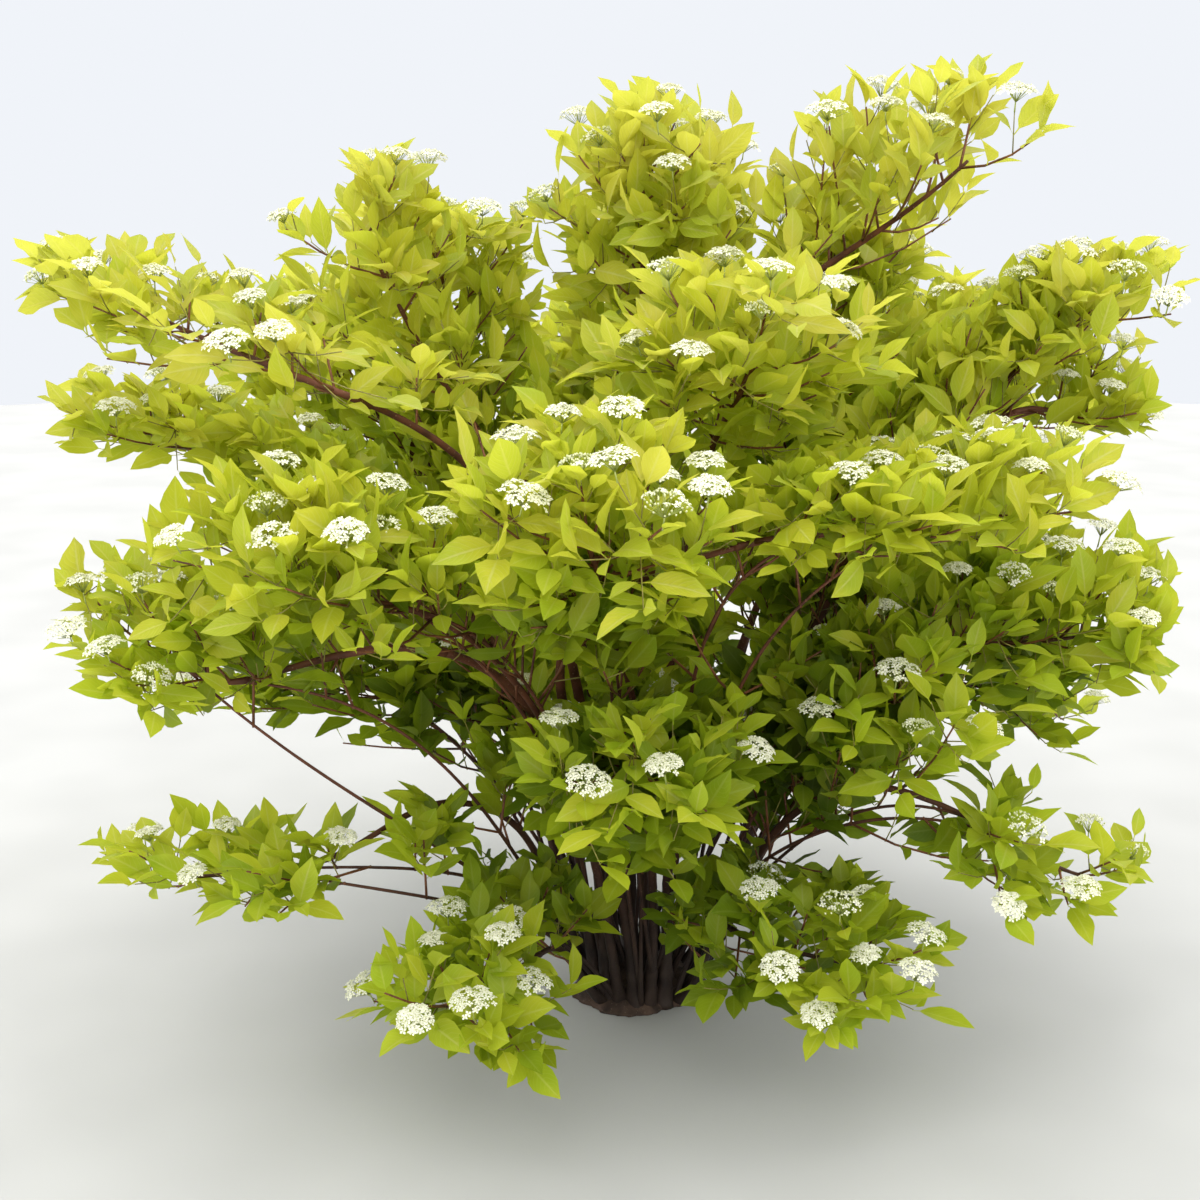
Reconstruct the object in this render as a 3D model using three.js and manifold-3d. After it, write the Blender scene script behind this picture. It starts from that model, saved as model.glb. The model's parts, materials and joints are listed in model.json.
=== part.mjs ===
// A red-barked dogwood with golden leaves: a broad shrub of many stems from one
// woody foot, in leaf and in flower. Millimetres, +Z up, the ground at Z = 0, the
// origin in the middle of the foot, and -Y the side that it is looked at from.
import * as THREE from "three";
import { mergeVertices } from "three/addons/utils/BufferGeometryUtils.js";
import Module from "manifold-3d";

const wasm = await Module();
wasm.setup();

// The whole shrub. Every limb's end is given as shares of these two.
const height = 1560; // from the ground to the topmost leaf
const crownRadius = 900; // half the crown's width
const crownLean = -50; // how far the crown's middle stands to the right of the foot

// The woody foot, and where the stems leave it.
const footRadius = 118;
const footHeight = 46;
const innerRing = 36;
const outerRing = 88;
const stubLength = 105; // of each stem that belongs to the foot
const flareDepth = 34; // how fast a stem's flare dies away above the ground
const flareWidth = 0.8; // of its radius, added at the ground
const seatGap = 0.3; // left between a piece and what carries it

// Limbs and twigs.
const limbSides = 6;
const limbStep = 185; // length of a limb's straight stretches, about
const twigSides = 3;
const spineRadius = 8.6;
const spineTaper = 0.72;
const twigRadius = 4.2;
const twigTaper = 0.85;
const twigLength = 118;
const twigNodes = [0.2, 0.4, 0.6, 0.8]; // along a spine, where a pair of twigs leaves it

// Leaves and flower heads. A blade of three leaves in one stands for a spray, so its
// leaves are over twice life size.
const leafLength = 190;
const leafThickness = 0.035; // of its length
const leafDroop = 0.26; // of its length, that its tip hangs below its root
const leafNotch = 0.5; // of its length, where one leaf of a spray meets the next
const sideLeaf = 62; // degrees that a spray's outer leaves turn away from the middle one
const leafRoot = 2.5; // how far a spray's root runs on past the twig's middle
const sprayCuts = 38; // faces that a spray may add; one that cuts through others adds more
const headRadius = 42;
const headHeight = 22;
const flowerShare = 0.36; // of the twigs that end in a flower head

// What keeps each mass of foliage to its own space.
const massGap = 10;
const limbGap = 9;
const groundGap = 14;
const massReach = 235; // the furthest that a leaf stands from its mass's spine
const massHang = 85; // the furthest that one hangs below it

const up = new THREE.Vector3(0, 0, 1);
const radians = THREE.MathUtils.degToRad;

// Stems rise from the foot; arms and boughs go on from a stem. azimuth is in
// degrees from +X, reach is a share of the crown's radius and level a share of its
// height. rise and fall are the slopes at the two ends, in degrees, and heading
// and veer turn those ends away from the straight way out. radii are in mm.
const limbs = [
  { name: "stem_left", ring: "outer", azimuth: 216, reach: 0.42, level: 0.43, rise: 80, fall: 22, radii: [11, 8.5] },
  { name: "arm_left", parent: "stem_left", at: 1, azimuth: 210, reach: 0.75, level: 0.425, fall: -9, radii: [8.4, 5.5] },
  { name: "stem_upper_left", ring: "outer", azimuth: 234, tip: 217, reach: 0.55, level: 0.68, rise: 82, fall: 24, radii: [13, 6] },
  { name: "stem_front_left", ring: "outer", azimuth: 248, tip: 233, reach: 0.5, level: 0.475, rise: 72, fall: 36, radii: [9.5, 5.5] },
  { name: "stem_mid_left", ring: "outer", azimuth: 184, tip: 177, reach: 0.51, level: 0.54, rise: 73, fall: 28, radii: [11, 5.5] },
  { name: "stem_top_left", ring: "inner", azimuth: 190, tip: 176, reach: 0.3, level: 0.63, rise: 84, fall: 52, radii: [12, 6] },
  { name: "stem_centre", ring: "inner", azimuth: 110, tip: 95, reach: 0.05, level: 0.7, rise: 88, fall: 84, radii: [14, 6.5] },
  { name: "stem_upper_right", ring: "inner", azimuth: 300, tip: 5, reach: 0.25, level: 0.765, rise: 92, fall: 36, radii: [14, 7] },
  { name: "stem_right", ring: "outer", azimuth: 356, tip: 0, reach: 0.5, level: 0.595, rise: 66, fall: 50, radii: [16, 9] },
  { name: "bough_right_fork", parent: "stem_right", at: 0.9, azimuth: 4, reach: 0.68, level: 0.645, rise: 20, fall: 20, radii: [6.5, 5] },
  { name: "bough_right_mid", parent: "stem_right", at: 0.6, azimuth: 342, reach: 0.55, level: 0.43, rise: 30, fall: 4, radii: [7, 5] },
  { name: "bough_right_low", parent: "stem_right", at: 0.46, azimuth: 6, reach: 0.53, level: 0.365, rise: 40, fall: -4, radii: [6.5, 5] },
  { name: "stem_cross", ring: "outer", azimuth: 265, tip: 228, reach: 0.2, level: 0.34, rise: 80, fall: 74, radii: [12, 9] },
  { name: "arm_cross", parent: "stem_cross", at: 1, azimuth: 287, reach: 0.46, level: 0.56, fall: 18, veer: 38, radii: [8.8, 5.5] },
  { name: "stem_front", ring: "outer", azimuth: 281, tip: 262, reach: 0.39, level: 0.47, rise: 77, fall: 40, radii: [10, 5.5] },
  { name: "stem_front_right", ring: "outer", azimuth: 298, tip: 296, reach: 0.23, level: 0.61, rise: 84, fall: 60, radii: [11, 6] },
  { name: "stem_low_right", ring: "outer", azimuth: 330, tip: 324, reach: 0.44, level: 0.29, rise: 58, fall: 24, radii: [9, 7] },
  { name: "arm_low_right", parent: "stem_low_right", at: 1, azimuth: 329, reach: 0.65, level: 0.275, fall: -20, radii: [6.9, 5] },
  { name: "stem_low_left", ring: "outer", azimuth: 200, tip: 211, reach: 0.37, level: 0.26, rise: 62, fall: 18, radii: [8.5, 6.5] },
  { name: "arm_low_left", parent: "stem_low_left", at: 1, azimuth: 216, reach: 0.62, level: 0.25, fall: -10, radii: [6.4, 5] },
  { name: "stem_front_low_left", ring: "outer", azimuth: 232, tip: 240, reach: 0.36, level: 0.125, rise: 34, fall: 4, radii: [8, 5.5] },
  { name: "stem_front_low_right", ring: "outer", azimuth: 314, tip: 297, reach: 0.34, level: 0.15, rise: 34, fall: 6, radii: [8, 5.5] },
  { name: "stem_back_left", ring: "outer", azimuth: 145, tip: 140, reach: 0.52, level: 0.55, rise: 74, fall: 40, radii: [13, 6] },
  { name: "stem_back", ring: "outer", azimuth: 100, tip: 95, reach: 0.42, level: 0.55, rise: 75, fall: 40, radii: [13, 6] },
  { name: "stem_back_right", ring: "outer", azimuth: 48, tip: 43, reach: 0.54, level: 0.55, rise: 73, fall: 40, radii: [13, 6] },
  { name: "bough_back_low_left", parent: "stem_back_left", at: 0.5, azimuth: 132, reach: 0.58, level: 0.36, rise: 35, fall: 5, radii: [6.5, 5] },
  { name: "bough_back_low_right", parent: "stem_back_right", at: 0.5, azimuth: 36, reach: 0.6, level: 0.355, rise: 35, fall: 5, radii: [6.5, 5] },
  { name: "stem_back_top", ring: "inner", azimuth: 70, tip: 80, reach: 0.22, level: 0.68, rise: 86, fall: 70, radii: [12, 6] },
];

// Each mass of foliage grows on from a limb's tip, or from its side at a share of
// its length, to its own outermost tip. lift is the slope of its last stretch.
const masses = [
  { name: "leaves_left_arm", limb: "arm_left", azimuth: 203, reach: 0.9, level: 0.455, lift: 24 },
  { name: "leaves_upper_left", limb: "stem_upper_left", azimuth: 192, reach: 0.9, level: 0.775, lift: 26 },
  { name: "leaves_front_left", limb: "stem_front_left", azimuth: 227, reach: 0.79, level: 0.55, lift: 28 },
  { name: "leaves_mid_left", limb: "stem_mid_left", azimuth: 180, reach: 0.9, level: 0.63, lift: 26 },
  { name: "leaves_top_left", limb: "stem_top_left", azimuth: 186, reach: 0.49, level: 0.835, lift: 66 },
  { name: "leaves_top_centre", limb: "stem_centre", azimuth: 0, reach: 0.0, level: 0.89, lift: 84 },
  { name: "leaves_upper_right", limb: "stem_upper_right", azimuth: 347, reach: 0.55, level: 0.9, lift: 46 },
  { name: "leaves_right", limb: "stem_right", azimuth: 355, reach: 0.79, level: 0.765, lift: 44 },
  { name: "leaves_right_fork", limb: "bough_right_fork", azimuth: 7, reach: 0.85, level: 0.64, lift: 16 },
  { name: "leaves_right_mid", limb: "bough_right_mid", azimuth: 346, reach: 0.8, level: 0.44, lift: 14 },
  { name: "leaves_right_low", limb: "bough_right_low", azimuth: 5, reach: 0.8, level: 0.33, lift: 0 },
  { name: "leaves_front_right", limb: "arm_cross", azimuth: 320, reach: 0.7, level: 0.595, lift: 22 },
  { name: "leaves_front", limb: "stem_front", azimuth: 262, reach: 0.66, level: 0.59, lift: 28 },
  { name: "leaves_front_high", limb: "stem_front_right", azimuth: 291, reach: 0.45, level: 0.725, lift: 52 },
  { name: "leaves_front_low", limb: "stem_front", at: 0.55, azimuth: 268, reach: 0.53, level: 0.365, lift: 10 },
  { name: "leaves_right_inner", limb: "stem_right", at: 0.42, azimuth: 320, reach: 0.55, level: 0.4, lift: 16 },
  { name: "leaves_low_right", limb: "arm_low_right", azimuth: 336, reach: 0.83, level: 0.215, lift: -8 },
  { name: "leaves_low_left", limb: "arm_low_left", azimuth: 209, reach: 0.86, level: 0.235, lift: 2 },
  { name: "leaves_foot_left", limb: "stem_front_low_left", azimuth: 238, reach: 0.6, level: 0.125, lift: 6 },
  { name: "leaves_foot_right", limb: "stem_front_low_right", azimuth: 309, reach: 0.58, level: 0.15, lift: 4 },
  { name: "leaves_back_left", limb: "stem_back_left", azimuth: 145, reach: 0.83, level: 0.665, lift: 32 },
  { name: "leaves_back", limb: "stem_back", azimuth: 94, reach: 0.81, level: 0.64, lift: 30 },
  { name: "leaves_back_right", limb: "stem_back_right", azimuth: 42, reach: 0.85, level: 0.665, lift: 32 },
  { name: "leaves_back_low_left", limb: "bough_back_low_left", azimuth: 127, reach: 0.83, level: 0.36, lift: 12 },
  { name: "leaves_back_low", limb: "stem_back", at: 0.5, azimuth: 88, reach: 0.73, level: 0.35, lift: 14 },
  { name: "leaves_back_low_right", limb: "bough_back_low_right", azimuth: 34, reach: 0.85, level: 0.35, lift: 12 },
  { name: "leaves_left_low", limb: "stem_mid_left", at: 0.5, azimuth: 168, reach: 0.77, level: 0.36, lift: 10 },
  { name: "leaves_right_back", limb: "stem_right", at: 0.72, azimuth: 26, reach: 0.77, level: 0.56, lift: 24 },
  { name: "leaves_top_back", limb: "stem_back_top", azimuth: 75, reach: 0.36, level: 0.84, lift: 70 },
  { name: "leaves_top_back_left", limb: "stem_back_left", at: 0.84, azimuth: 150, reach: 0.45, level: 0.81, lift: 70 },
  { name: "leaves_top_back_right", limb: "stem_back_right", at: 0.84, azimuth: 38, reach: 0.49, level: 0.815, lift: 68 },
];

// A direction from an azimuth and a slope, both in degrees.
function direction(azimuth, slope) {
  const a = radians(azimuth);
  const s = radians(slope);
  return new THREE.Vector3(Math.cos(a) * Math.cos(s), Math.sin(a) * Math.cos(s), Math.sin(s));
}

// A place in the crown from an azimuth and shares of its radius and height.
function place(azimuth, reach, level) {
  return direction(azimuth, 0).multiplyScalar(reach * crownRadius).setZ(level * height);
}

// A number from 0 to 1, always the same for the same mass, twig and use.
function chance(mass, twig, use) {
  const wave = Math.sin(mass * 12.9898 + twig * 78.233 + use * 37.719) * 43758.5453;
  return wave - Math.floor(wave);
}

// A mixture of directions, made one long again.
function blend(...parts) {
  const sum = new THREE.Vector3();
  for (const [vector, share] of parts) sum.addScaledVector(vector, share);
  return sum.normalize();
}

function curveBetween(start, leave, end, arrive, pull = 0.38) {
  const span = start.distanceTo(end) * pull;
  return new THREE.CubicBezierCurve3(
    start,
    start.clone().addScaledVector(leave, span),
    end.clone().addScaledVector(arrive, -span),
    end,
  );
}

// Each limb's middle line. One that goes on from its parent's tip keeps its line.
const limbNamed = new Map();
for (const limb of limbs) {
  const end = place(limb.tip ?? limb.azimuth, limb.reach, limb.level);
  let start = direction(limb.azimuth, 0).multiplyScalar(limb.ring === "inner" ? innerRing : outerRing);
  let leave = direction(limb.azimuth, limb.rise ?? 0);
  if (limb.parent) {
    const parent = limbNamed.get(limb.parent);
    start = parent.curve.getPointAt(limb.at);
    const outward = end.clone().sub(start);
    const azimuth = THREE.MathUtils.radToDeg(Math.atan2(outward.y, outward.x));
    leave = limb.at === 1 ? parent.curve.getTangentAt(1) : direction(azimuth, limb.rise);
  }
  const outward = end.clone().sub(start).setZ(0);
  const azimuth = THREE.MathUtils.radToDeg(Math.atan2(outward.y, outward.x));
  const arrive = direction(azimuth + (limb.veer ?? 0), limb.fall);
  limb.curve = curveBetween(start, leave, end, arrive);
  limb.length = limb.curve.getLength();
  limb.steps = Math.max(2, Math.round(limb.length / limbStep));
  limb.radiusAt = (share) => THREE.MathUtils.lerp(limb.radii[0], limb.radii[1], share);
  limbNamed.set(limb.name, limb);
}

// Each mass's spine, the twig that all its other twigs leave.
for (const mass of masses) {
  const limb = limbNamed.get(mass.limb);
  const share = mass.at ?? 1;
  const start = limb.curve.getPointAt(share);
  const end = place(mass.azimuth, mass.reach, mass.level);
  const outward = end.clone().sub(start).normalize();
  const leave = share === 1 ? limb.curve.getTangentAt(1) : outward.clone();
  if (share === 1) start.addScaledVector(leave, seatGap);
  const flat = end.clone().sub(start);
  const azimuth = THREE.MathUtils.radToDeg(Math.atan2(flat.y, flat.x));
  const arrive = blend([outward, 0.5], [direction(azimuth, mass.lift), 1]);
  mass.curve = curveBetween(start, leave, end, arrive);
  mass.trace = mass.curve.getSpacedPoints(16);
}

for (const limb of limbs) {
  limb.trace = limb.curve.getSpacedPoints(60).map((point, i) => ({ point, radius: limb.radiusAt(i / 60) }));
}

// A closed mesh as a solid that can be joined and cut, and back again.
function solidOf(geometry) {
  const bare = geometry.clone();
  bare.deleteAttribute("normal");
  bare.deleteAttribute("uv");
  const merged = mergeVertices(bare, 1e-4);
  return new wasm.Manifold(
    new wasm.Mesh({
      numProp: 3,
      vertProperties: new Float32Array(merged.attributes.position.array),
      triVerts: new Uint32Array(merged.index.array),
    }),
  );
}

function geometryOf(solid) {
  const mesh = solid.getMesh();
  return new THREE.BufferGeometry()
    .setAttribute("position", new THREE.BufferAttribute(new Float32Array(mesh.vertProperties), 3))
    .setIndex(new THREE.BufferAttribute(new Uint32Array(mesh.triVerts), 1));
}

// A round bar carried along a stretch of a curve, with its radius from a function
// of the share of the curve's length.
function bar(curve, radiusAt, { sides, steps, from = 0, to = 1 }) {
  const geometry = new THREE.CylinderGeometry(1, 1, 1, sides, steps);
  const frames = curve.computeFrenetFrames(steps);
  const position = geometry.attributes.position;
  for (let i = 0; i < position.count; i++) {
    const step = Math.round((position.getY(i) + 0.5) * steps);
    const share = from + (to - from) * (step / steps);
    const tangent = curve.getTangentAt(Math.min(share, 1));
    const across = frames.binormals[step].clone().addScaledVector(tangent, -frames.binormals[step].dot(tangent)).normalize();
    const other = tangent.clone().cross(across).negate();
    const middle = curve.getPointAt(Math.min(share, 1));
    const radius = radiusAt(share);
    middle.addScaledVector(across, position.getX(i) * radius);
    middle.addScaledVector(other, position.getZ(i) * radius);
    position.setXYZ(i, middle.x, middle.y, middle.z);
  }
  return solidOf(geometry);
}

// An octahedron with each of its six corners moved to a place of its own.
function sixCorners(corners) {
  const geometry = new THREE.OctahedronGeometry(1, 0);
  const position = geometry.attributes.position;
  const vertex = new THREE.Vector3();
  for (let i = 0; i < position.count; i++) {
    vertex.fromBufferAttribute(position, i);
    const axis = ["x", "y", "z"].find((name) => Math.abs(vertex[name]) > 0.9);
    const corner = corners[axis][vertex[axis] > 0 ? 0 : 1];
    position.setXYZ(i, corner.x, corner.y, corner.z);
  }
  return solidOf(geometry);
}

// A straight twig of three sides between two points, thinner at its end.
function twigBar(start, end, radius) {
  const along = end.clone().sub(start).normalize();
  const across = up.clone().cross(along).normalize();
  const corner = (middle, turn, size) =>
    middle.clone().addScaledVector(across.clone().applyAxisAngle(along, radians(turn)), size);
  return sixCorners({
    x: [corner(start, 0, radius), corner(end, 180, radius * twigTaper)],
    y: [corner(start, 240, radius), corner(end, 60, radius * twigTaper)],
    z: [corner(start, 120, radius), corner(end, 300, radius * twigTaper)],
  });
}

// The axes of a spray: along it, across it and out of its upper face.
function sprayAxes(along, roll) {
  const across = up.clone().cross(along).normalize();
  const face = along.clone().cross(across).normalize();
  across.applyAxisAngle(along, roll);
  face.applyAxisAngle(along, roll);
  return { along, across, face };
}

// The eight corners of a spray: the root, three drooping tips with a notch on
// either side of the middle one, and the thick of it, over and under.
function sprayCorners(root, axes, length) {
  const at = (turn, reach, rise) =>
    root
      .clone()
      .addScaledVector(axes.along, Math.cos(radians(turn)) * reach * length)
      .addScaledVector(axes.across, Math.sin(radians(turn)) * reach * length)
      .addScaledVector(axes.face, rise * length);
  return {
    ring: [
      at(180, leafRoot / length, 0),
      at(-sideLeaf, 0.9, -leafDroop),
      at(-sideLeaf / 2, leafNotch, -0.04),
      at(0, 1, -leafDroop),
      at(sideLeaf / 2, leafNotch, -0.04),
      at(sideLeaf, 0.9, -leafDroop),
    ],
    over: at(0, 0.3, leafThickness),
    under: at(0, 0.3, 0),
  };
}

// A bipyramid of six sides, with its corners moved to a spray's.
function spraySolid({ ring, over, under }) {
  const geometry = new THREE.SphereGeometry(1, 6, 2);
  const position = geometry.attributes.position;
  const vertex = new THREE.Vector3();
  for (let i = 0; i < position.count; i++) {
    vertex.fromBufferAttribute(position, i);
    const turn = Math.atan2(-vertex.z, vertex.x) / (Math.PI / 3);
    const around = (Math.round(turn) + 9) % 6;
    const corner = Math.abs(vertex.y) < 0.5 ? ring[around] : vertex.y > 0 ? over : under;
    position.setXYZ(i, corner.x, corner.y, corner.z);
  }
  return solidOf(geometry);
}

// A flower head: a flat dome of tiny flowers, closed underneath by its stalks.
function headSolid(centre, axis) {
  const geometry = new THREE.SphereGeometry(1, 6, 2);
  geometry.rotateX(Math.PI / 2);
  geometry.scale(headRadius, headRadius, headHeight);
  const turn = new THREE.Quaternion().setFromUnitVectors(up, axis);
  geometry.applyQuaternion(turn);
  geometry.translate(centre.x, centre.y, centre.z);
  return solidOf(geometry);
}

function distanceToTrace(point, trace) {
  return Math.min(...trace.map((other) => point.distanceTo(other)));
}

// Whether a point lies in a mass's own space: within the crown and the mass's
// reach, nearer to its spine than to any other, and clear of limbs and the ground.
function isOwn(point, index) {
  if (point.z < groundGap || point.z > height) return false;
  if (Math.hypot(point.x - crownLean, point.y) > crownRadius) return false;
  const mine = distanceToTrace(point, masses[index].trace);
  const lowest = Math.min(...masses[index].trace.map((place) => place.z));
  if (mine > massReach || point.z < lowest - massHang) return false;
  const others = masses.every((mass, i) => i === index || distanceToTrace(point, mass.trace) > mine + massGap);
  return others && limbs.every((limb) => limb.trace.every((t) => point.distanceTo(t.point) > t.radius + limbGap));
}

function lineIsOwn(start, end, index, skipped = 0) {
  const steps = 8;
  for (let i = 0; i <= steps; i++) {
    const share = skipped + (1 - skipped) * (i / steps);
    if (!isOwn(start.clone().lerp(end, share), index)) return false;
  }
  return true;
}

function sprayIsOwn({ ring, over }, index) {
  return ring.every((corner, i) => {
    const next = ring[(i + 1) % ring.length];
    return lineIsOwn(over, corner, index, i === 0 ? 1 : 0) && lineIsOwn(corner, next, index, i === 0 ? 0.3 : 0);
  });
}

// One mass: twigs leave its spine in opposite pairs, each pair turned a quarter
// from the last and bending up to the light. Each twig ends in a spray of leaves,
// some of them with a flower head above. A twig that finds no room for itself and
// its spray is tried again shorter, and then left out.
function massSolid(mass, index) {
  const thickness = (share) => spineRadius * THREE.MathUtils.lerp(1, spineTaper, share);
  let joined = bar(mass.curve, thickness, { sides: twigSides, steps: 3 });
  const grow = (start, way, length, isSpineEnd, twig) => {
    const hasHead = chance(index, twig, 5) < flowerShare;
    const roll = (chance(index, twig, 6) - 0.5) * 1.1;
    const sprayLength = leafLength * (0.85 + 0.3 * chance(index, twig, 3));
    for (const [size, turn] of [[1, roll], [1, -roll], [0.8, roll], [0.65, -roll], [0.5, 0]]) {
      const end = start.clone().addScaledVector(way, isSpineEnd ? length : length * size);
      const corners = sprayCorners(
        start.clone().lerp(end, hasHead ? 0.8 : 0.97),
        sprayAxes(blend([way, 1], [up, -0.3]), turn),
        sprayLength * (0.3 + 0.7 * size),
      );
      if (!isSpineEnd && !lineIsOwn(start, end, index, 0.3)) continue;
      if (!sprayIsOwn(corners, index)) continue;
      const withTwig = isSpineEnd ? joined : joined.add(twigBar(start, end, twigRadius));
      const grown = withTwig.add(spraySolid(corners));
      if (grown.numTri() - withTwig.numTri() > sprayCuts) continue;
      joined = grown;
      if (hasHead && isOwn(end.clone().addScaledVector(up, headRadius), index)) {
        joined = joined.add(headSolid(end, blend([way, 0.5], [up, 1])));
      }
      return;
    }
  };
  const tip = mass.curve.getPointAt(1);
  const beforeTip = mass.curve.getPointAt(0.88);
  grow(beforeTip, tip.clone().sub(beforeTip).normalize(), tip.distanceTo(beforeTip), true, 41);
  twigNodes.forEach((share, node) => {
    const along = mass.curve.getTangentAt(share);
    const level = along.clone().cross(up).normalize();
    for (const side of [0, 1]) {
      const twig = node * 2 + side + 1;
      const turn = radians(45 + 90 * node + 180 * side) + (chance(index, twig, 1) - 0.5) * 0.6;
      const across = level.clone().applyAxisAngle(along, turn);
      const way = blend([along, 0.5], [across, 0.75], [up, 0.6]);
      const length = twigLength * (1.1 - 0.3 * share) * (0.8 + 0.4 * chance(index, twig, 2));
      grow(mass.curve.getPointAt(share), way, length, false, twig);
    }
  });
  return joined.decompose().sort((a, b) => b.volume() - a.volume())[0];
}

// A limb, from its seat on the foot or on its parent to its tip.
function limbSolid(limb) {
  const round = { sides: limbSides, steps: limb.steps };
  if (!limb.parent) {
    const from = (stubLength + seatGap) / limb.length;
    return bar(limb.curve, limb.radiusAt, { ...round, from });
  }
  if (limb.at === 1) return bar(limb.curve, limb.radiusAt, { ...round, from: seatGap / limb.length });
  return seatedOnSide(bar(limb.curve, limb.radiusAt, round), limbNamed.get(limb.parent));
}

// A piece that leaves a limb's side, cut clear of that limb.
function seatedOnSide(solid, limb) {
  const clear = (share) => limb.radiusAt(share) + seatGap / Math.cos(Math.PI / limbSides);
  const from = limb.parent ? 0 : stubLength / limb.length;
  const cut = solid.subtract(bar(limb.curve, clear, { sides: limbSides, steps: limb.steps, from }));
  return cut.decompose().sort((a, b) => b.volume() - a.volume())[0];
}

// The foot: a low lobed mound with a flared stub for each stem, cut flat at the
// ground.
function footSolid() {
  const profile = [
    [0, footHeight],
    [footRadius * 0.45, footHeight * 0.9],
    [footRadius * 0.78, footHeight * 0.5],
    [footRadius, 0],
    [footRadius * 1.04, -footHeight * 0.3],
    [0, -footHeight * 0.3],
  ];
  const mound = new THREE.LatheGeometry(profile.map(([r, z]) => new THREE.Vector2(r, z)).reverse(), 12);
  mound.rotateX(Math.PI / 2);
  const position = mound.attributes.position;
  for (let i = 0; i < position.count; i++) {
    const around = Math.atan2(position.getY(i), position.getX(i));
    const lobe = 1 + 0.07 * Math.cos(3 * around + 0.6) + 0.05 * Math.cos(5 * around + 2);
    position.setXY(i, position.getX(i) * lobe, position.getY(i) * lobe);
  }
  const stubs = limbs.filter((limb) => !limb.parent).map((limb) => {
    const flared = (share) => {
      const along = share * limb.length;
      return limb.radiusAt(share) * (1 + flareWidth * Math.exp(-along / flareDepth));
    };
    return bar(limb.curve, flared, { sides: limbSides, steps: 2, to: stubLength / limb.length });
  });
  const below = new THREE.BoxGeometry(4 * footRadius, 4 * footRadius, footHeight);
  below.translate(0, 0, -footHeight / 2);
  return wasm.Manifold.union([solidOf(mound), ...stubs]).subtract(solidOf(below));
}

const bark = new THREE.MeshStandardMaterial({ color: 0x5a2a20, roughness: 0.6, metalness: 0 });
const oldBark = new THREE.MeshStandardMaterial({ color: 0x4a3a2e, roughness: 0.9, metalness: 0 });
const foliage = new THREE.MeshStandardMaterial({ color: 0xb4c62c, roughness: 0.55, metalness: 0 });

const shrub = new THREE.Group();
function add(name, solid, material) {
  const mesh = new THREE.Mesh(geometryOf(solid), material);
  mesh.name = name;
  shrub.add(mesh);
}

add("foot", footSolid(), oldBark);
for (const limb of limbs) add(limb.name, limbSolid(limb), bark);
masses.forEach((mass, index) => {
  const solid = massSolid(mass, index);
  add(mass.name, mass.at ? seatedOnSide(solid, limbNamed.get(mass.limb)) : solid, foliage);
});

export default shrub;
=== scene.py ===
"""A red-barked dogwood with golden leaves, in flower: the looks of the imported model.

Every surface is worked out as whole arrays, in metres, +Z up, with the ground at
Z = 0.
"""
import json
import math
import bpy
import numpy as np
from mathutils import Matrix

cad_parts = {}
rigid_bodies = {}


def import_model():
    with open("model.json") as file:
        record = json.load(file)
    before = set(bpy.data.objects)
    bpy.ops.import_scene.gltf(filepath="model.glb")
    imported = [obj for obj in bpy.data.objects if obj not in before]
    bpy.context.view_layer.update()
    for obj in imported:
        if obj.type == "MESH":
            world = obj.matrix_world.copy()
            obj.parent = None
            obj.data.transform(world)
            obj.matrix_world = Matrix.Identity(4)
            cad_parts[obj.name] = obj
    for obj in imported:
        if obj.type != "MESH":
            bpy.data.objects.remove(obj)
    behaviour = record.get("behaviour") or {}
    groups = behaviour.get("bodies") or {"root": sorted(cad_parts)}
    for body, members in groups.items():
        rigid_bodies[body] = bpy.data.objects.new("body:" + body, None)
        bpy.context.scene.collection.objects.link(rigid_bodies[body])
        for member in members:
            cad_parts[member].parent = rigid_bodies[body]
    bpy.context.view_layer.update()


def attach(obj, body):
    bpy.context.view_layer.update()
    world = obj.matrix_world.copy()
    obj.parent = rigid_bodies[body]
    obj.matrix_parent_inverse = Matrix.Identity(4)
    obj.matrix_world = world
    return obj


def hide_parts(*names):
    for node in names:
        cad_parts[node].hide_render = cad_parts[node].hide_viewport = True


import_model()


# Stems and boughs: smooth red-brown young wood, rougher near the ground and darker
# there with age and painted shade, ringed where pairs of leaves once stood. Nineteen
# stems rise from one foot, and arms and boughs go on from them.
HEIGHT = 1.56
CROWN_RADIUS = 0.9
INNER_RING = 0.036
OUTER_RING = 0.088
PULL = 0.38
CURVE_POINTS = 201
BARK_SIDES = 14
BARK_STEP = 0.009
BUD_RING_GAP = 0.085
BUD_RING_WIDTH = 0.0055
FLARE = 0.8
FLARE_HEIGHT = 0.034
SMOOTH_BARK = 0.35
ROUGH_BARK = 2.2
ROUGH_HEIGHT = 0.12
UP = np.array([0.0, 0.0, 1.0])


def limb_row(name, azimuth, reach, level, fall, radii, **rest):
    """A limb's azimuth in degrees, its tip's place as shares of the crown's radius and
    height, the slope that it ends at, and its two radii in millimetres. The rest is
    its ring or its parent, where it leaves that, its first slope (rise), its tip's own
    azimuth (tip), a turn at its end (veer) and its share without twigs (bare)."""
    return dict(name=name, azimuth=azimuth, reach=reach, level=level, fall=fall, radii=radii, **rest)


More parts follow.
